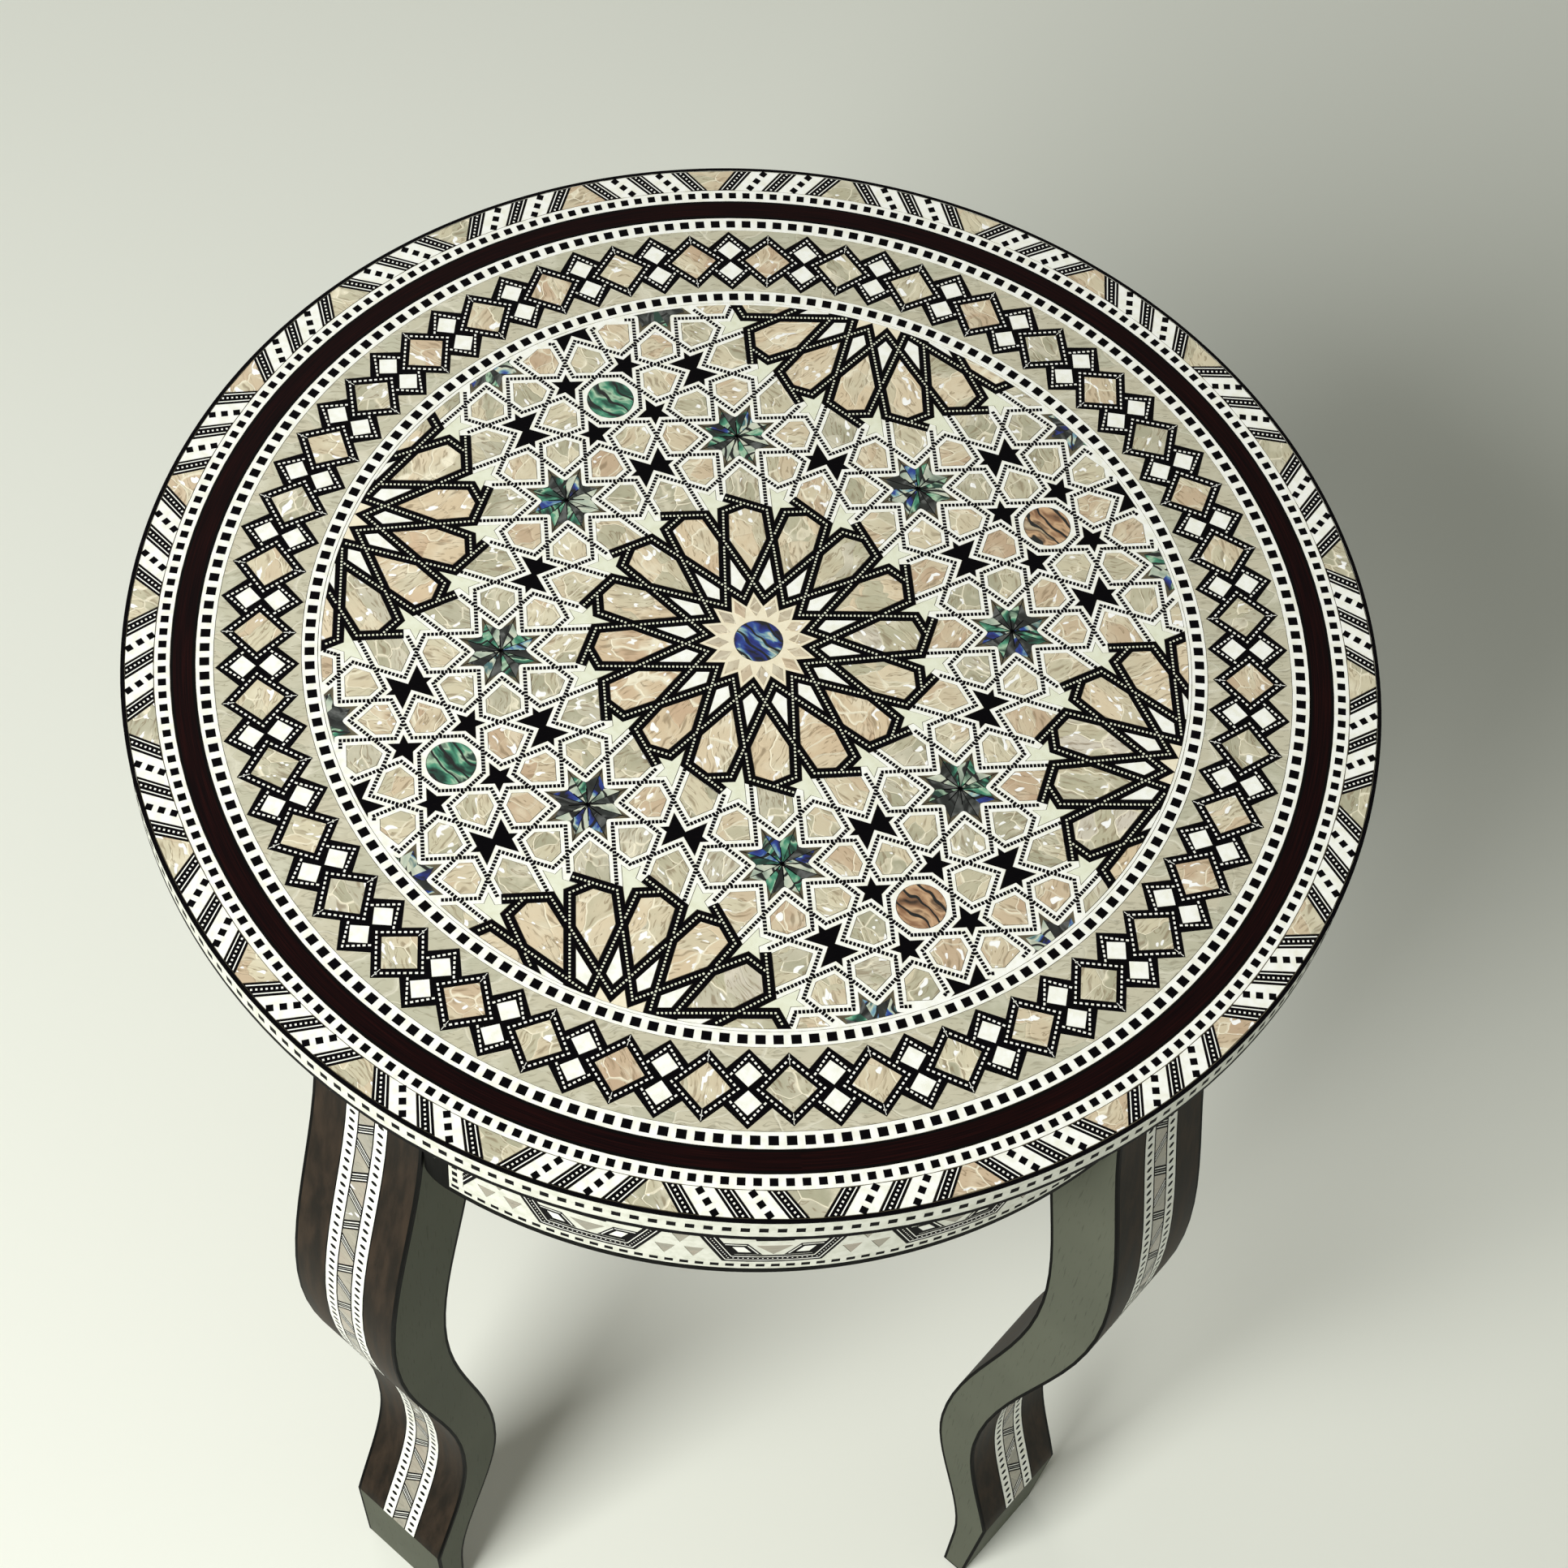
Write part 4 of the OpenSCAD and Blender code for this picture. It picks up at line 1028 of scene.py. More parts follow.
class DotRows:
    """Rows of places along straight lines, with no place used twice."""

    def __init__(self, pitch: float, apart: float) -> None:
        """Starts with no rows.

        Args:
            pitch: Wanted distance from one place to the next.
            apart: Least distance between two places.
        """
        self.pitch = pitch
        self.apart = apart
        self.spots: list[tuple[Vector, float]] = []
        self.taken: dict[tuple[int, int], list[Vector]] = {}

    def cell(self, spot: Vector) -> tuple[int, int]:
        """The cell of a square net that a place lies in."""
        return math.floor(spot.x / self.apart), math.floor(spot.y / self.apart)

    def free(self, spot: Vector) -> bool:
        """Tells whether nothing lies too near a place.

        Args:
            spot: The place.

        Returns:
            Whether it is free.
        """
        column, row = self.cell(spot)
        near = (other for i in (-1, 0, 1) for j in (-1, 0, 1)
                for other in self.taken.get((column + i, row + j), ()))
        return all((spot - other).length >= self.apart for other in near)

    def line(self, start: Vector, end: Vector) -> None:
        """Adds the free places along a line.

        Args:
            start: The first place.
            end: The last place.
        """
        length = (end - start).length
        if length <= 0.0:
            return
        along = (end - start).normalized()
        count = max(1, round(length / self.pitch))
        for step in range(count + 1):
            spot = start + along * (length * step / count)
            if self.free(spot):
                self.taken.setdefault(self.cell(spot), []).append(spot)
                self.spots.append((spot, bearing(along.x, along.y)))

    def round(self, outline: Outline) -> None:
        """Adds the places along every side of an outline."""
        for i, point in enumerate(outline):
            self.line(outline[i - 1], point)

    def tree(self) -> kdtree.KDTree:
        """Makes a search tree.

        Returns:
            The tree of all places.
        """
        made = kdtree.KDTree(len(self.spots))
        for i, (spot, _) in enumerate(self.spots):
            made.insert((spot.x, spot.y, 0.0), i)
        made.balance()
        return made


def give(node: str, finish: Finish) -> None:
    """Gives a CAD node its finish.

    Args:
        node: The CAD node, which stays as it is.
        finish: The finish.
    """
    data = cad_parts[node].data
    data.materials.clear()
    data.materials.append(finish.material())
    LOG.info("%s: CAD node, %s", node, finish.name)


@dataclass
class Rings:
    """The rings of the top, from the edge inwards. A peg's size is across and along its line."""

    top_r: float = 200.0
    band_low: float = 508.0
    band_sink: float = 0.06
    dash_n: int = 235
    dash: tuple[float, float] = (2.6, 2.7)
    dash_t: float = 0.2
    dash_level: float = 0.56
    dash_rise: float = 0.02
    line_n: int = 240
    line_t: float = 0.05
    upper_line: tuple[float, float] = (-0.6, -0.05)
    # The lower black line is partly a real line and partly painted shadow under the band, which widens
    # it.
    lower_line_and_shadow: tuple[float, float] = (0.05, 2.2)
    rim_n: int = 360
    rim_t: float = 0.1
    rim_gap: float = 0.15
    rim_sink: float = 0.02
    border_outer: float = 198.6
    border_w: float = 8.8
    border_turn: float = -6.0
    pearl_n: int = 26
    pearl_w: float = 16.2
    pearl_tip: float = 3.8
    dark_w: float = 5.8
    veil: float = 0.05
    white_line: float = 0.42
    line_offset: float = 1.75
    line_reach: float = 0.94
    dot: float = 0.62
    dot_pitch: float = 1.45
    dot_reach: float = 0.84
    square: float = 2.2
    square_pitch: float = 3.9
    square_reach: float = 0.74
    outer_r: float = 187.2
    outer_n: int = 248
    outer_turn: float = 0.34
    outer_square: float = 2.5
    dice: random.Random = seeded(7)

    @property
    def face_r(self) -> float:
        """Radius of the band's sunk face."""
        return self.top_r - self.band_sink

    def build(self) -> None:
        """Makes every ring."""
        self.edge_band()
        self.rim_line()
        self.border()
        self.outer_ring()
        for node, finish in (("dark_wood_ring", RING_WOOD), ("middle_dotted_ring", BONE),
                             ("inner_dotted_ring", BONE), ("middle_ring_squares", EBONY),
                             ("inner_ring_squares", EBONY)):
            give(node, finish)

    def edge_band(self) -> None:
        """The white band with dark dashes and a black line at its upper and lower edge; the lower line
        is widened with painted shadow.
        """
        band = Copy("edge_band", tidy=False)
        for vert in band.mesh.verts:
            flat = vert.co.xy
            if flat.length > self.top_r - NEAR:
                flat.length = self.face_r
                vert.co.xy = flat
        # The band's bone is the darker copy with painted shade.
        band.sink(self.band_sink).polish(SHADED_SIDE_BONE, smooth=BOARD_SMOOTH)
        hoop = HoopSheet(self.face_r + self.dash_rise)
        girth = math.tau * self.top_r
        dashes = Dots(hoop, *self.dash, depth=self.dash_t)
        for k in range(self.dash_n):
            dashes.add(k * girth / self.dash_n,
                       self.band_low + (TABLE_H - self.band_low) * self.dash_level, 0.0)
        dashes.finish("edge_band_dashes", EBONY)
        lines = Tabs(hoop, depth=self.line_t)
        for edge, line in ((TABLE_H, self.upper_line), (self.band_low, self.lower_line_and_shadow)):
            low, high = (edge + part for part in line)
            for k in range(self.line_n):
                x0 = k * girth / self.line_n
                x1 = (k + 1) * girth / self.line_n
                lines.add([Vector(spot) for spot in ((x0, low), (x1, low), (x1, high), (x0, high))])
        bmesh.ops.remove_doubles(lines.mesh, verts=lines.mesh.verts, dist=SNAP)
        lines.bend()
        bmesh.ops.remove_doubles(lines.mesh, verts=lines.mesh.verts, dist=10 * SNAP)
        lines.finish("edge_band_lines", EBONY, smooth=BOARD_SMOOTH)

    def rim_line(self) -> None:
        """The black line round the edge of the top face."""
        line = Piece()
        bmesh.ops.create_circle(line.mesh, segments=self.rim_n, radius=self.face_r)
        inner = bmesh.ops.extrude_edge_only(line.mesh, edges=line.mesh.edges[:])["geom"]
        share = (self.border_outer + self.rim_gap) / self.face_r
        bmesh.ops.scale(line.mesh, vec=(share, share, 1.0), verts=picked(inner, Vert))
        bmesh.ops.solidify(line.mesh, geom=line.mesh.faces[:], thickness=self.rim_t)
        top = max(vert.co.z for vert in line.mesh.verts)
        rise = TABLE_H - self.rim_sink - top
        bmesh.ops.translate(line.mesh, vec=(0.0, 0.0, rise), verts=line.mesh.verts)
        bmesh.ops.recalc_face_normals(line.mesh, faces=line.mesh.faces)
        line.finish("top_rim_line", EBONY)

    def border_point(self, x: float, s: float, lean: float) -> Vector:
        """A point of the border: x along it at mid width, s from -1 inside to 1 outside."""
        mid = self.border_outer - self.border_w / 2
        return polar(mid + s * self.border_w / 2, math.degrees((x - s * lean / 2) / mid))

    def border(self) -> None:
        """Pearls, dark strips with white lines and dots, and white strips with black squares."""
        Copy("border_pearls").mark_islands(self.dice).polish(TILE_SHELL)
        for node, finish in (("border_dark_strips", EBONY), ("border_bone_strips", BONE)):
            Copy(node).sink(self.veil).polish(finish)
        mid = self.border_outer - self.border_w / 2
        step = 360 / self.pearl_n
        span = math.radians(step) * mid
        lean_w = (self.pearl_w - self.pearl_tip) / 2
        white_w = (span - (self.pearl_w + self.pearl_tip) / 2 - 3 * self.dark_w) / 2
        half_pearl = (self.pearl_w + self.pearl_tip) / 4
        lines = Tabs(TOP)
        dots = Dots(TOP, self.dot, self.dot)
        squares = Dots(TOP, self.square, self.square)
        reach = self.line_reach
        for k in range(self.pearl_n):
            turn = self.border_turn + k * step
            lean = lean_w if k % 2 == 0 else -lean_w
            for i in range(3):
                middle = half_pearl + self.dark_w / 2 + i * (self.dark_w + white_w)
                for side in (-1, 1):
                    x0 = middle + side * self.line_offset - self.white_line / 2
                    x1 = x0 + self.white_line
                    corners = [(x0, -reach), (x0, reach), (x1, reach), (x1, -reach)]
                    lines.add([turned(self.border_point(x, s, lean), turn) for x, s in corners])
                self.row(dots, middle, lean, turn, self.dot_pitch, self.dot_reach)
                if i < 2:
                    self.row(squares, middle + (self.dark_w + white_w) / 2, lean, turn,
                             self.square_pitch, self.square_reach)
        lines.lay("border_white_lines", BONE)
        dots.finish("border_white_dots", BONE)
        squares.finish("border_black_squares", EBONY)

    def row(self, dots: Dots, x: float, lean: float, turn: float, pitch: float,
            reach: float) -> None:
        """Sets a row of pegs along a slanted strip of the border.

        Args:
            dots: The pegs.
            x: Middle of the strip along the border.
            lean: How far the strip leans.
            turn: Angle in degrees of the pearl before it.
            pitch: Wanted distance from peg to peg.
            reach: Share of the border's width that the row takes up.
        """
        start = turned(self.border_point(x, -reach, lean), turn)
        end = turned(self.border_point(x, reach, lean), turn)
        along = end - start
        count = max(1, round(along.length / pitch))
        for step in range(count + 1):
            spot = start + along * step / count
            dots.add(spot.x, spot.y, bearing(along.x, along.y))

    def outer_ring(self) -> None:
        """The plain outer ring with squares let into its face."""
        Copy("outer_dotted_ring", tidy=False).sink(self.veil).polish(BONE, "outer_ring")
        squares = Dots(TOP, self.outer_square, self.outer_square)
        for k in range(self.outer_n):
            degrees = self.outer_turn + k * 360 / self.outer_n
            spot = polar(self.outer_r, degrees)
            squares.add(spot.x, spot.y, degrees)
        squares.finish("outer_ring_squares", EBONY)


@dataclass
class StarPanel:
    """The star pattern inside the rings. A peg's size is across and along its line."""

    panel_r: float = 138.9
    rim: float = 0.8
    cell_w: float = 151.3
    pattern_turn: float = -21.4
    strip_w: float = 3.5
    glue_gap: float = 0.2
    petal_r: float = 54.3
    petal_slack: float = 1.0
    hook: float = 7.0
    hook_inset: float = 0.8
    veil: float = 0.08
    dot: tuple[float, float] = (1.2, 0.88)
    dot_pitch: float = 1.2
    dot_apart: float = 0.85
    dot_margin: float = 1.2
    bead: float = 0.62
    bead_pitch: float = 1.3
    bead_apart: float = 0.95
    bead_margin: float = 0.9
    seam_reach: tuple[float, float] = (13.5, 5.8)
    seam_w: tuple[float, float] = (0.16, 0.32)
    seam_margin: float = 0.5
    ray_step: float = 3.1
    light_tones: tuple[float, ...] = (0.1, 0.1, 0.3, 0.3, 0.5, 0.9)
    dark_tones: tuple[float, ...] = (0.9, 0.9, 0.3, 0.5)
    lozenge_in: float = 9.5
    lozenge_mid: float = 12.8
    lozenge_out: float = 17.0
    lozenge_w: float = 3.9
    lozenge_t: float = 0.12
    lozenge_step: tuple[float, float] = (2.3, 1.1)
    disc_turn: float = 40.0
    centre_reach: float = 20.0
    disc_tones: tuple[float, float, float] = (0.1, 0.7, 0.3)
    dice: random.Random = seeded(11)
    centres: list[Vector] = field(init=False)
    lines: dict[str, list[list[Vector]]] = field(default_factory=dict, init=False)
    beads: DotRows = field(init=False)

    def build(self) -> None:
        """Makes the whole panel."""
        self.centres = [ORIGIN] + [polar(self.cell_w, self.pattern_turn + 90 * k) for k in range(4)]
        self.tiles()
        self.rosettes()
        self.strips()
        self.stars()
        self.hearts()
        self.discs()

    def tiles(self) -> None:
        """Shell tiles, each cut from its own place, and the plain stars and kites."""
        for node, finish, name in (("pearl_tiles", TILE_SHELL, ""),
                                   ("rosette_petals", PETAL_SHELL, "petals")):
            tiles = Copy(node)
            self.lines[node] = tiles.outlines()
            tiles.mark_islands(self.dice).polish(finish, name)
        for node, finish in (("rosette_kites", BONE), ("ebony_stars", EBONY)):
            self.lines[node] = Copy(node).outlines()
            give(node, finish)
        give("bone_stars", STAR_BONE)

    def inside(self, spot: Vector, margin: float) -> bool:
        """Whether a place lies inside the panel by a margin."""
        return spot.length < self.panel_r - self.rim - margin

    def middle_lines(self, *nodes: str) -> list[list[Vector]]:
        """The middle lines of the strips round the tiles of some nodes."""
        reach = self.strip_w / 2 + self.glue_gap
        return [outset(outline, reach) for node in nodes for outline in self.lines[node]]

    def hooks(self) -> list[tuple[Vector, Vector]]:
        """Finds the strip ends that run on past the outer corner of each petal.

        Returns:
            Where each of them starts and ends.
        """
        found = []
        for outline in self.middle_lines("rosette_petals"):
            middle = centroid(outline)
            centre = min(self.centres, key=lambda spot: (spot - middle).length)
            apex = max(range(len(outline)), key=lambda i: (outline[i] - centre).length)
            tip = outline[apex]
            if abs((tip - centre).length - self.petal_r) < self.petal_slack:
                shoulder = outline[apex - 1]
                found.append((tip, tip + (tip - shoulder).normalized() * self.hook))
        return found

    def rosettes(self) -> None:
        """Black strips with white dots, and the strip ends over the white ones."""
        Copy("rosette_strips", tidy=False).sink(self.veil).polish(EBONY)
        self.beads = DotRows(self.bead_pitch, self.bead_apart)
        for outline in self.middle_lines("rosette_petals", "rosette_kites"):
            self.beads.round(outline)
        ends = Tabs(TOP, top=-self.veil / 2)
        for start, end in self.hooks():
            if self.inside(end, self.strip_w / 2):
                ends.add(ribbon(start, end, self.strip_w))
                self.beads.line(start, end - (end - start).normalized() * self.hook_inset)
        ends.lay("rosette_strip_ends", EBONY)
        beads = Dots(TOP, self.bead, self.bead)
        beads.add_all(row for row in self.beads.spots if self.inside(row[0], self.bead_margin))
        beads.finish("rosette_white_dots", STAR_BONE)

    def strips(self) -> None:
        """White strips with black dots down their middle."""
        Copy("bone_lattice", tidy=False).sink(self.veil).polish(BONE)
        rows = DotRows(self.dot_pitch, self.dot_apart)
        for outline in self.middle_lines("pearl_tiles", "ebony_stars"):
            rows.round(outline)
        black = self.beads.tree()
        dots = Dots(TOP, *self.dot)
        for spot, degrees in rows.spots:
            nearest = black.find((spot.x, spot.y, 0.0))[2]
            if nearest > self.strip_w / 2 and self.inside(spot, self.dot_margin):
                dots.add(spot.x, spot.y, degrees)
        dots.finish("lattice_black_dots", EBONY)

    def stars(self) -> None:
        """Abalone stars, each ray split along its middle into two tones."""
        stars = Copy("abalone_stars").sink(self.veil)
        seams = Tabs(TOP)
        for group in stars.islands():
            verts = list({vert for face in group for vert in face.verts})
            edges = list({edge for face in group for edge in face.edges})
            centre = self.star_centre(verts)
            geometry = verts + edges + group
            for k in range(RAYS):
                aside = polar(1.0, self.pattern_turn + HALF_RAY * k)
                cut = bmesh.ops.bisect_plane(stars.mesh, geom=geometry, dist=SNAP,
                                             plane_co=(centre.x, centre.y, 0.0),
                                             plane_no=(-aside.y, aside.x, 0.0))
                geometry = cut["geom"]
            self.tint_rays(picked(geometry, Face), centre, stars)
            for k in range(2 * RAYS):
                end = centre + polar(self.seam_reach[k % 2], self.pattern_turn + HALF_RAY * k)
                if self.inside(end, self.seam_margin) and self.inside(centre, self.seam_margin):
                    seams.add(ribbon(centre, end, self.seam_w[k % 2]))
        stars.polish(ABALONE)
        seams.lay("abalone_star_seams", EBONY)

    def star_centre(self, verts: Sequence[Vert]) -> Vector:
        """Finds the centre of an abalone star, also of one cut by the rim.

        Args:
            verts: The star's corners.

        Returns:
            The centre that the pattern has nearest to them.
        """
        middle = centroid([vert.co.xy for vert in verts])
        unit = self.cell_w / 2
        offset = math.sqrt(2) - 1
        spots = [turned(Vector((2 * i + a, 2 * j + b)), self.pattern_turn) * unit
                 for i in (-1, 0, 1) for j in (-1, 0, 1)
                 for a, b in ((offset, 1), (-offset, 1), (1, offset), (1, -offset))]
        return min(spots, key=lambda spot: (spot - middle).length)

    def tint_rays(self, faces: Sequence[Face], centre: Vector, stars: Copy) -> None:
        """Gives each half ray of a star a tone and its own place on the shell.

        Args:
            faces: The star's faces.
            centre: Its centre.
            stars: The piece that it belongs to.
        """
        lights = [self.dice.choice(self.light_tones) for _ in range(RAYS)]
        darks = [self.dice.choice(self.dark_tones) for _ in range(RAYS)]
        place = self.dice.uniform(0.0, SHELL_PART)
        for face in faces:
            way = face.calc_center_median().xy - centre
            sector = math.floor((bearing(way.x, way.y) - self.pattern_turn) / HALF_RAY)
            ray = (sector + 1) // 2 % RAYS
            tone = lights[ray] if sector % 2 else darks[ray]
            shift = Vector((self.ray_step * (sector % (2 * RAYS)) + place, place))
            stars.mark([face], HALF_RAY * sector, shift, tone)

    def hearts(self) -> None:
        """Cream many-pointed hearts with a ring of shell lozenges."""
        Copy("rosette_hearts", tidy=False).sink(self.veil).polish(HEART_BONE, "hearts")
        lozenges = Tabs(TOP, depth=self.lozenge_t)
        half = self.lozenge_w / 2
        shape = [Vector((self.lozenge_in, 0.0)), Vector((self.lozenge_mid, -half)),
                 Vector((self.lozenge_out, 0.0)), Vector((self.lozenge_mid, half))]
        for k in range(2 * RAYS):
            turn = self.pattern_turn + HALF_RAY * k
            shift = Vector([step * k for step in self.lozenge_step])
            lozenges.add([turned(point, turn) for point in shape], -turn, shift, self.dice.random())
        lozenges.lay("heart_lozenges", HEART_SHELL)

    def discs(self) -> None:
        """Round shells: one blue in the middle, and green and tan ones between the stars."""
        discs = Copy("abalone_discs")
        blue, tan, green = self.disc_tones
        for group in discs.islands():
            middle = group[0].calc_center_median().xy
            tone = blue if middle.length < self.centre_reach else (tan if middle.x > 0.0 else green)
            shift = Vector([self.dice.uniform(0.0, SHELL_PART) for _ in range(2)])
            discs.mark(group, self.disc_turn, shift, tone)
        discs.polish(ABALONE)


@dataclass
class Chain:
    """The band of framed squares on its shell ground. A dot's size is across and along its line."""

    mid: float = 157.7
    count: int = 39
    turn: float = 1.9
    pearl_h: float = 7.7
    bone_h: float = 4.2
    bone_gap: float = 0.8
    strip_w: float = 2.9
    glue_gap: float = 0.2
    veil: float = 0.05
    dot: tuple[float, float] = (0.62, 0.88)
    dot_pitch: float = 1.75
    dot_apart: float = 0.95
    dot_inset: float = 1.2
    mitre: float = 0.18
    mitre_inset: float = 0.4
    dice: random.Random = seeded(23)

    def build(self) -> None:
        """Makes the band."""
        Copy("chain_pearls").mark_islands(self.dice).polish(TILE_SHELL)
        ground = Copy("chain_ground", tidy=False)
        ground.mark(ground.mesh.faces, 0.0, ORIGIN, 0.5)
        ground.polish(GROUND_SHELL)
        Copy("chain_frames", tidy=False).sink(self.veil).polish(EBONY)
        give("chain_bone_squares", BONE)
        half = self.strip_w / math.sqrt(2)
        rows = DotRows(self.dot_pitch, self.dot_apart)
        mitres = Tabs(TOP)
        for k in range(self.count):
            angle = self.turn + k * 360 / self.count
            rows.round(self.square(angle, self.pearl_h + half))
            for side in (-1, 1):
                inner = self.spot(angle, side * (self.pearl_h + self.glue_gap), 0.0)
                outer = self.spot(angle, side * (self.pearl_h + 2 * half - self.mitre_inset), 0.0)
                mitres.add(ribbon(inner, outer, self.mitre))
        for k in range(self.count):
            angle = self.turn + (k + 0.5) * 360 / self.count
            for side in (-1, 1):
                middle = side * (self.bone_h + self.bone_gap / 2)
                reach = self.bone_h + half
                tip = self.spot(angle, middle + side * reach, 0.0)
                for across in (-1, 1):
                    rows.line(tip, self.spot(angle, middle, across * (reach - self.dot_inset)))
        mitres.lay("chain_mitre_lines", BONE)
        dots = Dots(TOP, *self.dot)
        dots.add_all(rows.spots)
        dots.finish("chain_white_dots", BONE)

    def spot(self, angle: float, out: float, across: float) -> Vector:
        """A point of the band, from its distance out and across at an angle."""
        return turned(Vector((self.mid + out, across)), angle)

    def square(self, angle: float, reach: float) -> list[Vector]:
        """The corners of a square that stands on its corner."""
        return [self.spot(angle, x * reach, y * reach)
                for x, y in ((1, 0), (0, 1), (-1, 0), (0, -1))]


@dataclass
class Legs:
    """The four sawn legs and the strips let into them. A dot's size is across and along."""

    azimuths: dict[str, float] = field(default_factory=lambda: {
        "front_left": 225.0, "front_right": 315.0, "rear_right": 45.0, "rear_left": 135.0})
    leg_w: float = 47.0
    strip_w: float = 18.0
    border_w: float = 5.3
    panel_w: float = 6.6
    glue_gap: float = 0.2
    foot_h: float = 60.5
    under_top: float = 508.0
    dot: tuple[float, float] = (2.5, 1.9)
    dot_sides: int = 8
    dot_pitch: float = 4.9
    bar_pitch: float = 14.3
    bar_inset: float = 0.3
    bar_lines_at: tuple[tuple[float, float], ...] = ((-1.5, 0.38), (0.0, 0.14), (1.5, 0.38))
    line_w: float = 0.5
    arris: float = 1.2
    dice: random.Random = seeded(31)

    def build(self) -> None:
        """Makes the legs one by one, then what they share."""
        for name, azimuth in self.azimuths.items():
            self.leg(name, azimuth)
        # The leg pearls take the darker shell with painted shade.
        for node, finish in (("leg_pearls", SHADED_SIDE_SHELL), ("leg_bars", EBONY)):
            Copy(node, tidy=False).mark_islands(self.dice, sheet=False).polish(finish)

    def sheet(self, name: str, azimuth: float) -> LegSheet:
        """Reads the outer face of a leg from the strip let into it.

        Args:
            name: The leg's place.
            azimuth: The leg's direction in degrees.

        Returns:
            The face as a sheet.
        """
        way = polar(1.0, azimuth)
        reach: dict[float, float] = {}
        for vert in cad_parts[name + "_leg_inlay"].data.vertices:
            spot = vert.co / MM
            height = round(spot.z, 2)
            reach[height] = max(reach.get(height, 0.0), spot.xy.dot(way))
        return LegSheet(azimuth, tuple(sorted(reach.items())))

    def leg(self, name: str, azimuth: float) -> None:
        """Makes one leg with its strip, dots and lines.

        Args:
            name: The leg's place.
            azimuth: Its direction in degrees.
        """
        sheet = self.sheet(name, azimuth)
        leg = Copy(name + "_leg")
        self.line_arrises(leg, azimuth)
        leg.polish(LEG_WOOD, smooth=SMOOTH)
        Copy(name + "_leg_inlay").polish(BONE, smooth=SMOOTH)
        dots = Dots(sheet, *self.dot, PROUD, SIDE_CUT, self.dot_sides)
        middle = (self.strip_w - 2 * self.glue_gap - self.border_w) / 2
        for height in self.heights(sheet):
            for side in (-1, 1):
                dots.add(side * middle, height, 90.0)
        dots.finish(f"{name}_leg_dots", EBONY)
        lines = Tabs(sheet, PROUD, SIDE_CUT)
        edge = self.panel_w / 2 + self.glue_gap / 2
        for x in (-self.strip_w / 2, -edge, edge, self.strip_w / 2):
            low = Vector((x, self.foot_h))
            high = Vector((x, self.under_top))
            lines.add(ribbon(low, high, self.line_w))
        lines.slice(1, sheet.bends())
        lines.lay(f"{name}_leg_lines", EBONY, SMOOTH)
        self.bar_lines(name, sheet)

    def line_arrises(self, leg: Copy, azimuth: float) -> None:
        """Parts the faces of a leg into black arrises, plain sawn sides and stained faces.

        Args:
            leg: The leg.
            azimuth: Its direction in degrees.
        """
        across = polar(1.0, azimuth + 90.0).to_3d()
        reach = self.leg_w / 2 - self.arris
        for side in (-1.0, 1.0):
            leg.split(across * side * reach, across, snap=10 * SNAP)
        flanks = [face for face in leg.mesh.faces if abs(face.normal.dot(across)) > FACING]
        for face in leg.mesh.faces:
            middle = face.calc_center_median()
            outer = abs(middle.dot(across)) > reach
            face[leg.tone] = BLACK if outer else (SAWN if middle.z < self.foot_h else STAINED)
        bmesh.ops.inset_individual(leg.mesh, faces=flanks, thickness=self.arris,
                                   use_even_offset=True)
        for face in flanks:
            face[leg.tone] = SAWN

    def heights(self, sheet: LegSheet) -> list[float]:
        """Spaces the dots one pitch apart along the curved face.

        Args:
            sheet: The leg's face.

        Returns:
            Their heights.
        """
        found = []
        walked = self.dot_pitch / 2
        for (z0, r0), (z1, r1) in zip(sheet.profile, sheet.profile[1:]):
            length = math.hypot(z1 - z0, r1 - r0)
            while walked < length:
                found.append(z0 + (z1 - z0) * walked / length)
                walked += self.dot_pitch
            walked -= length
        return found

    def bar_lines(self, name: str, sheet: LegSheet) -> None:
        """Draws thin white lines along the slanted bars of a leg.

        Args:
            name: The leg's place.
            sheet: Its face.
        """
        lines = Tabs(sheet, PROUD, SIDE_CUT)
        count = math.floor((self.under_top - self.foot_h) / self.bar_pitch)
        reach = self.panel_w / 2 - self.bar_inset
        for k in range(count):
            slope = 1 if k % 2 == 0 else -1
            middle = self.foot_h + (k + 0.5) * self.bar_pitch
            for offset, width in self.bar_lines_at:
                start = Vector((-reach, middle + offset - slope * reach))
                end = Vector((reach, middle + offset + slope * reach))
                if min(start.y, end.y) > self.foot_h and max(start.y, end.y) < self.under_top:
                    lines.add(ribbon(start, end, width))
        lines.slice(1, sheet.bends())
        lines.lay(f"{name}_leg_bar_lines", BONE, SMOOTH)


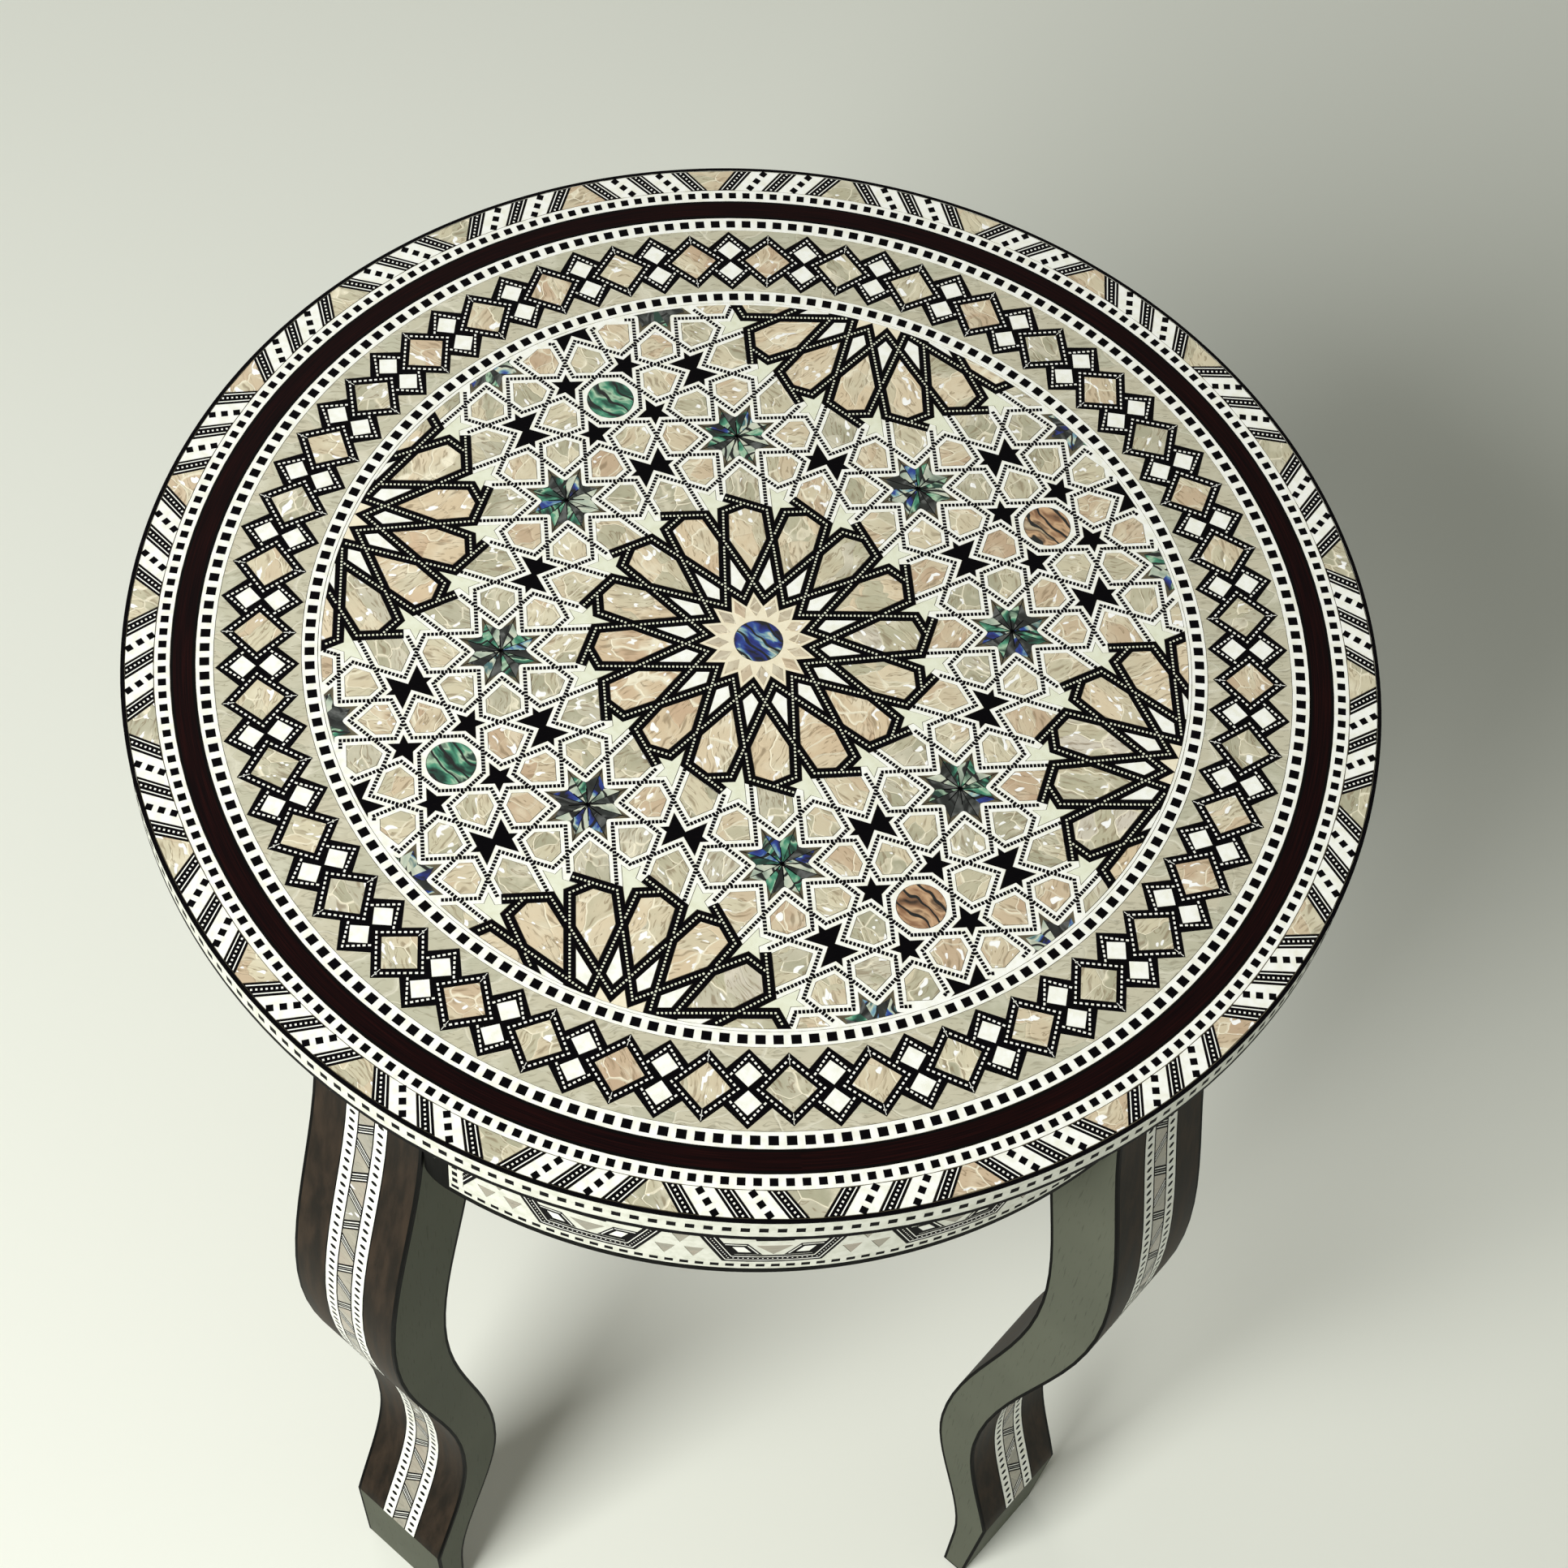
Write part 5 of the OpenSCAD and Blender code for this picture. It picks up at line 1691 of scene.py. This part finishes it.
@dataclass
class Aprons:
    """The four curved boards between the legs and their inlay.

    A dash's size is across and along its line. The outlines of a filling are measured from the
    middle of its frame, and those named half are drawn on both sides of it.
    """

    azimuths: dict[str, float] = field(default_factory=lambda: {
        "front": 270.0, "right": 0.0, "rear": 90.0, "left": 180.0})
    radius: float = 180.5
    rim: float = 0.6
    low: float = 440.2
    high: float = 508.0
    border_w: float = 5.0
    half_span: float = 106.4
    field_span: float = 103.5
    slice_n: int = 26
    slice_w: float = 4.0
    dash: tuple[float, float] = (1.9, 2.7)
    dash_pitch: float = 4.7
    frame_pitch: float = 58.0
    frame_shift: float = -3.5
    frame_gap: float = 1.6
    frame_flat: float = 31.0
    frame_w: float = 5.0
    frame_lines_at: tuple[float, float] = (1.4, 4.0)
    bead: float = 0.42
    bead_pitch: float = 1.5
    bead_apart: float = 1.0
    glue_gap: float = 0.2
    white_t: float = 0.35
    line_w: float = 0.3
    bar_w: float = 0.4
    keystone: Corners = ((-9.4, -0.2), (9.4, -0.2), (5.8, -12.6), (-5.8, -12.6))
    rungs: tuple[float, ...] = (2.6, 5.2, 7.8, 10.4)
    rung_w: float = 8.6
    rung_taper: float = 0.29
    shell_tip: Corners = ((-5.6, -16.2), (5.6, -16.2), (0.0, -22.6))
    half_block: Corners = ((16.0, -15.0), (8.2, -15.0), (3.4, -23.0), (12.4, -23.0))
    half_light: Corners = ((12.9, -17.4), (9.3, -17.4), (7.0, -21.2), (10.9, -21.2))
    half_bars: tuple[Corners, ...] = (((15.2, -15.9), (8.6, -15.9)), ((8.2, -16.4), (4.7, -22.2)))
    half_shell: Corners = ((19.0, -5.0), (12.0, -5.0), (13.6, -11.6))
    dice: random.Random = seeded(43)

    def build(self) -> None:
        """Makes the aprons one by one, then what they share."""
        for name, azimuth in self.azimuths.items():
            sheet = HoopSheet(self.radius, azimuth)
            self.apron(name, sheet)
            self.filling(name, sheet)
        Copy("apron_frames", tidy=False).polish(EBONY, smooth=SMOOTH)
        # The triangles take the darker shell with painted shade.
        triangles = Copy("apron_triangles", tidy=False)
        triangles.mark_islands(self.dice, sheet=False).polish(SHADED_SIDE_SHELL, smooth=SMOOTH)

    def apron(self, name: str, sheet: HoopSheet) -> None:
        """Makes one board with its borders and their dashes.

        Args:
            name: The board's side of the table.
            sheet: Its face.
        """
        board = Copy(name + "_apron", tidy=False)
        for face in board.mesh.faces:
            middle = face.calc_center_median()
            rim = middle.z < self.low or middle.xy.length > self.radius - self.rim
            face[board.tone] = BLACK if rim else SAWN
        board.polish(LEG_WOOD, smooth=BOARD_SMOOTH)
        # The inlay's bone is the darker copy with painted shade.
        Copy(name + "_apron_inlay", tidy=False).polish(SHADED_SIDE_BONE, smooth=SMOOTH)
        dashes = Dots(sheet, *self.dash, PROUD, SIDE_CUT)
        count = round(2 * self.half_span / self.dash_pitch)
        for k in range(count + 1):
            x = -self.half_span + 2 * self.half_span * k / count
            for y in (self.low + self.border_w / 2, self.high - self.border_w / 2):
                dashes.add(x, y, 0.0)
        rise = self.high - self.low - self.border_w
        steps = round(rise / self.dash_pitch)
        for k in range(1, steps):
            y = self.low + self.border_w / 2 + rise * k / steps
            for side in (-1, 1):
                dashes.add(side * self.half_span, y, 90.0)
        dashes.finish(f"{name}_apron_dashes", EBONY)

    def filling(self, name: str, sheet: HoopSheet) -> None:
        """Makes what lies on and inside the six-sided frames of one board.

        Args:
            name: The board's side of the table.
            sheet: Its face.
        """
        black = Tabs(sheet, PROUD, SIDE_CUT)
        shell = Tabs(sheet, PROUD, SIDE_CUT)
        white = Tabs(sheet, 2 * PROUD, self.white_t)
        beads = Dots(sheet, self.bead, self.bead, PROUD, SIDE_CUT)
        for k in range(-2, 3):
            middle = Vector((self.frame_shift + k * self.frame_pitch, (self.low + self.high) / 2))
            self.frame_lines(white, beads, middle)
            for side in (-1, 1):
                self.half_filling(black, shell, white, middle, side)
        # The shell insets take the darker shell with painted shade.
        for tabs, part, finish in ((black, "dark_insets", EBONY), (shell, "shell_insets", SHADED_SIDE_SHELL),
                                   (white, "white_insets", BONE)):
            tabs.trim(self.field_span)
            tabs.slice(0, [self.slice_w * k for k in range(-self.slice_n, self.slice_n + 1)])
            tabs.lay(f"{name}_apron_{part}", finish)
        beads.finish(f"{name}_apron_beads", BONE)

    def frame_lines(self, white: Tabs, beads: Dots, middle: Vector) -> None:
        """Draws two thin white lines round a frame and a row of beads between them.

        Args:
            white: The white tabs.
            beads: The beads.
            middle: Middle of the frame.
        """
        wide = (self.frame_pitch - self.frame_gap) / 2
        flat = self.frame_flat / 2
        tall = (self.high - self.low) / 2 - self.border_w - self.glue_gap
        outline = [middle + Vector(spot) for spot in ((wide, 0.0), (flat, tall), (-flat, tall),
                                                      (-wide, 0.0), (-flat, -tall), (flat, -tall))]
        for depth in self.frame_lines_at:
            ring = outset(outline, -depth)
            for i, corner in enumerate(ring):
                white.add(ribbon(ring[i - 1], corner, self.line_w))
        rows = DotRows(self.bead_pitch, self.bead_apart)
        rows.round(outset(outline, -self.frame_w / 2 - self.glue_gap))
        beads.add_all(row for row in rows.spots if abs(row[0].x) < self.field_span)

    def half_filling(self, black: Tabs, shell: Tabs, white: Tabs, middle: Vector,
                     side: int) -> None:
        """Draws the upper or lower half of a frame's filling.

        Args:
            black: The black tabs.
            shell: The shell tabs.
            white: The white tabs.
            middle: Middle of the frame.
            side: -1 for the lower half and 1 for the upper one.
        """
        def placed(spots: Corners, turn: int = 1) -> list[Vector]:
            """Puts an outline in this half, mirrored where turn is -1."""
            return [middle + Vector((turn * x, -y * side)) for x, y in spots]
        black.add(placed(self.keystone))
        for drop in self.rungs:
            reach = self.rung_w - drop * self.rung_taper
            white.add(ribbon(*placed(((-reach, -drop), (reach, -drop))), self.line_w))
        shell.add(placed(self.shell_tip), 0.0, Vector((self.dice.uniform(0.0, SHELL_PART), 1.0)),
                  self.dice.random())
        for turn in (-1, 1):
            black.add(placed(self.half_block, turn))
            white.add(placed(self.half_light, turn))
            for bar in self.half_bars:
                white.add(ribbon(*placed(bar, turn), self.bar_w))
            shell.add(placed(self.half_shell, turn), 0.0,
                      Vector((self.dice.uniform(0.0, SHELL_PART), 2.0)), self.dice.random())


@dataclass
class Structure:
    """The hidden wood and steel, and the glue between the pieces."""

    bed_r: float = 198.7
    bed_z: float = 519.75
    bed_t: float = 1.6
    bed_n: int = 180

    def build(self) -> None:
        """Gives the hidden nodes their finish and lays the glue."""
        for node in ("top_board", "front_left_block", "front_right_block", "rear_right_block",
                     "rear_left_block"):
            give(node, PLAIN_WOOD)
        for node in ("leg_bolts", "block_screws"):
            give(node, STEEL)
        bed = Piece()
        bmesh.ops.create_cone(bed.mesh, cap_ends=True, segments=self.bed_n, radius1=self.bed_r,
                              radius2=self.bed_r, depth=self.bed_t)
        bmesh.ops.translate(bed.mesh, vec=(0.0, 0.0, self.bed_z - self.bed_t / 2),
                            verts=bed.mesh.verts)
        bed.finish("glue_bed", GLUE)


@dataclass(frozen=True)
class Lamp:
    """A square soft lamp that hangs over the sheet. Its place and size are in metres."""

    name: str
    place: tuple[float, float, float]
    size: float
    watts: float
    colour: Colour = (252, 252, 251)

    def hang(self, aim: Vector) -> None:
        """Hangs the lamp and points it.

        Args:
            aim: The place that it points at.
        """
        light = bpy.data.lights.new(self.name, "AREA")
        light.size = self.size
        light.energy = self.watts
        light.color = linear(self.colour)[:3]
        turn = (aim - Vector(self.place)).to_track_quat("-Z", "Y").to_matrix().to_4x4()
        link(self.name, light).matrix_world = Matrix.Translation(self.place) @ turn


@dataclass
class Studio:
    """The pale sheet, the lamps and the camera. Places and widths are in metres."""

    floor_w: float = 9.0
    world_level: float = 0.16
    world_colour: Colour = (240, 243, 232)
    lamps: tuple[Lamp, ...] = (Lamp("key", (-1.17, -1.12, 1.84), 1.0, 56.5),
                               Lamp("fill", (-1.3, 1.9, 2.3), 2.2, 14.0))
    aim: tuple[float, float, float] = (0.0, 0.0, 0.35)
    camera_place: tuple[float, float, float] = (-0.0896, -0.5526, 1.3439)
    camera_pitch: float = 31.65
    camera_yaw: float = -10.645
    camera_roll: float = 7.6
    lens: float = 71.8
    sensor: float = 36.0

    def build(self) -> None:
        """Sets up the studio."""
        self.floor()
        self.world()
        for lamp in self.lamps:
            lamp.hang(Vector(self.aim))
        self.camera()
        bpy.context.scene.view_settings.view_transform = "Standard"

    def floor(self) -> None:
        """A wide sheet just under the feet."""
        mesh = bmesh.new()
        bmesh.ops.create_grid(mesh, x_segments=8, y_segments=8, size=self.floor_w / 2)
        data = bpy.data.meshes.new("studio_floor")
        mesh.to_mesh(data)
        mesh.free()
        data.materials.append(PAPER.material())
        floor = link("studio_floor", data)

    def world(self) -> None:
        """Even pale light, seen at full strength only by the camera, in gloss and through glass."""
        world = bpy.data.worlds.new("studio_light")
        world.use_nodes = True
        bench = Bench(world.node_tree)
        path = bench.tree.nodes.new("ShaderNodeLightPath")
        camera, gloss, glass = (Wire(bench, path.outputs[f"Is {name} Ray"])
                                for name in ("Camera", "Glossy", "Transmission"))
        level = self.world_level + (1.0 - self.world_level) * (camera + gloss + glass > 0.5)
        light = world.node_tree.nodes["Background"]
        bench.feed(light.inputs["Color"], linear(self.world_colour))
        bench.feed(light.inputs["Strength"], level)
        bpy.context.scene.world = world

    def camera(self) -> None:
        """The camera, above the front of the table and turned a little on its axis."""
        data = bpy.data.cameras.new("camera")
        data.lens = self.lens
        data.sensor_width = self.sensor
        turn = Matrix.Identity(4)
        for degrees, axis in ((self.camera_yaw, "Z"), (self.camera_pitch, "X"),
                              (self.camera_roll, "Z")):
            turn @= Matrix.Rotation(math.radians(degrees), 4, axis)
        camera = link("camera", data)
        camera.matrix_world = Matrix.Translation(self.camera_place) @ turn
        bpy.context.scene.camera = camera


def main() -> None:
    """Builds the studio and the table, piece by piece."""
    logging.basicConfig(level=logging.INFO, format="%(name)s: %(message)s")
    for part in (Studio(), Structure(), Rings(), Chain(), StarPanel(), Legs(), Aprons()):
        part.build()


if __name__ == "__main__":
    main()
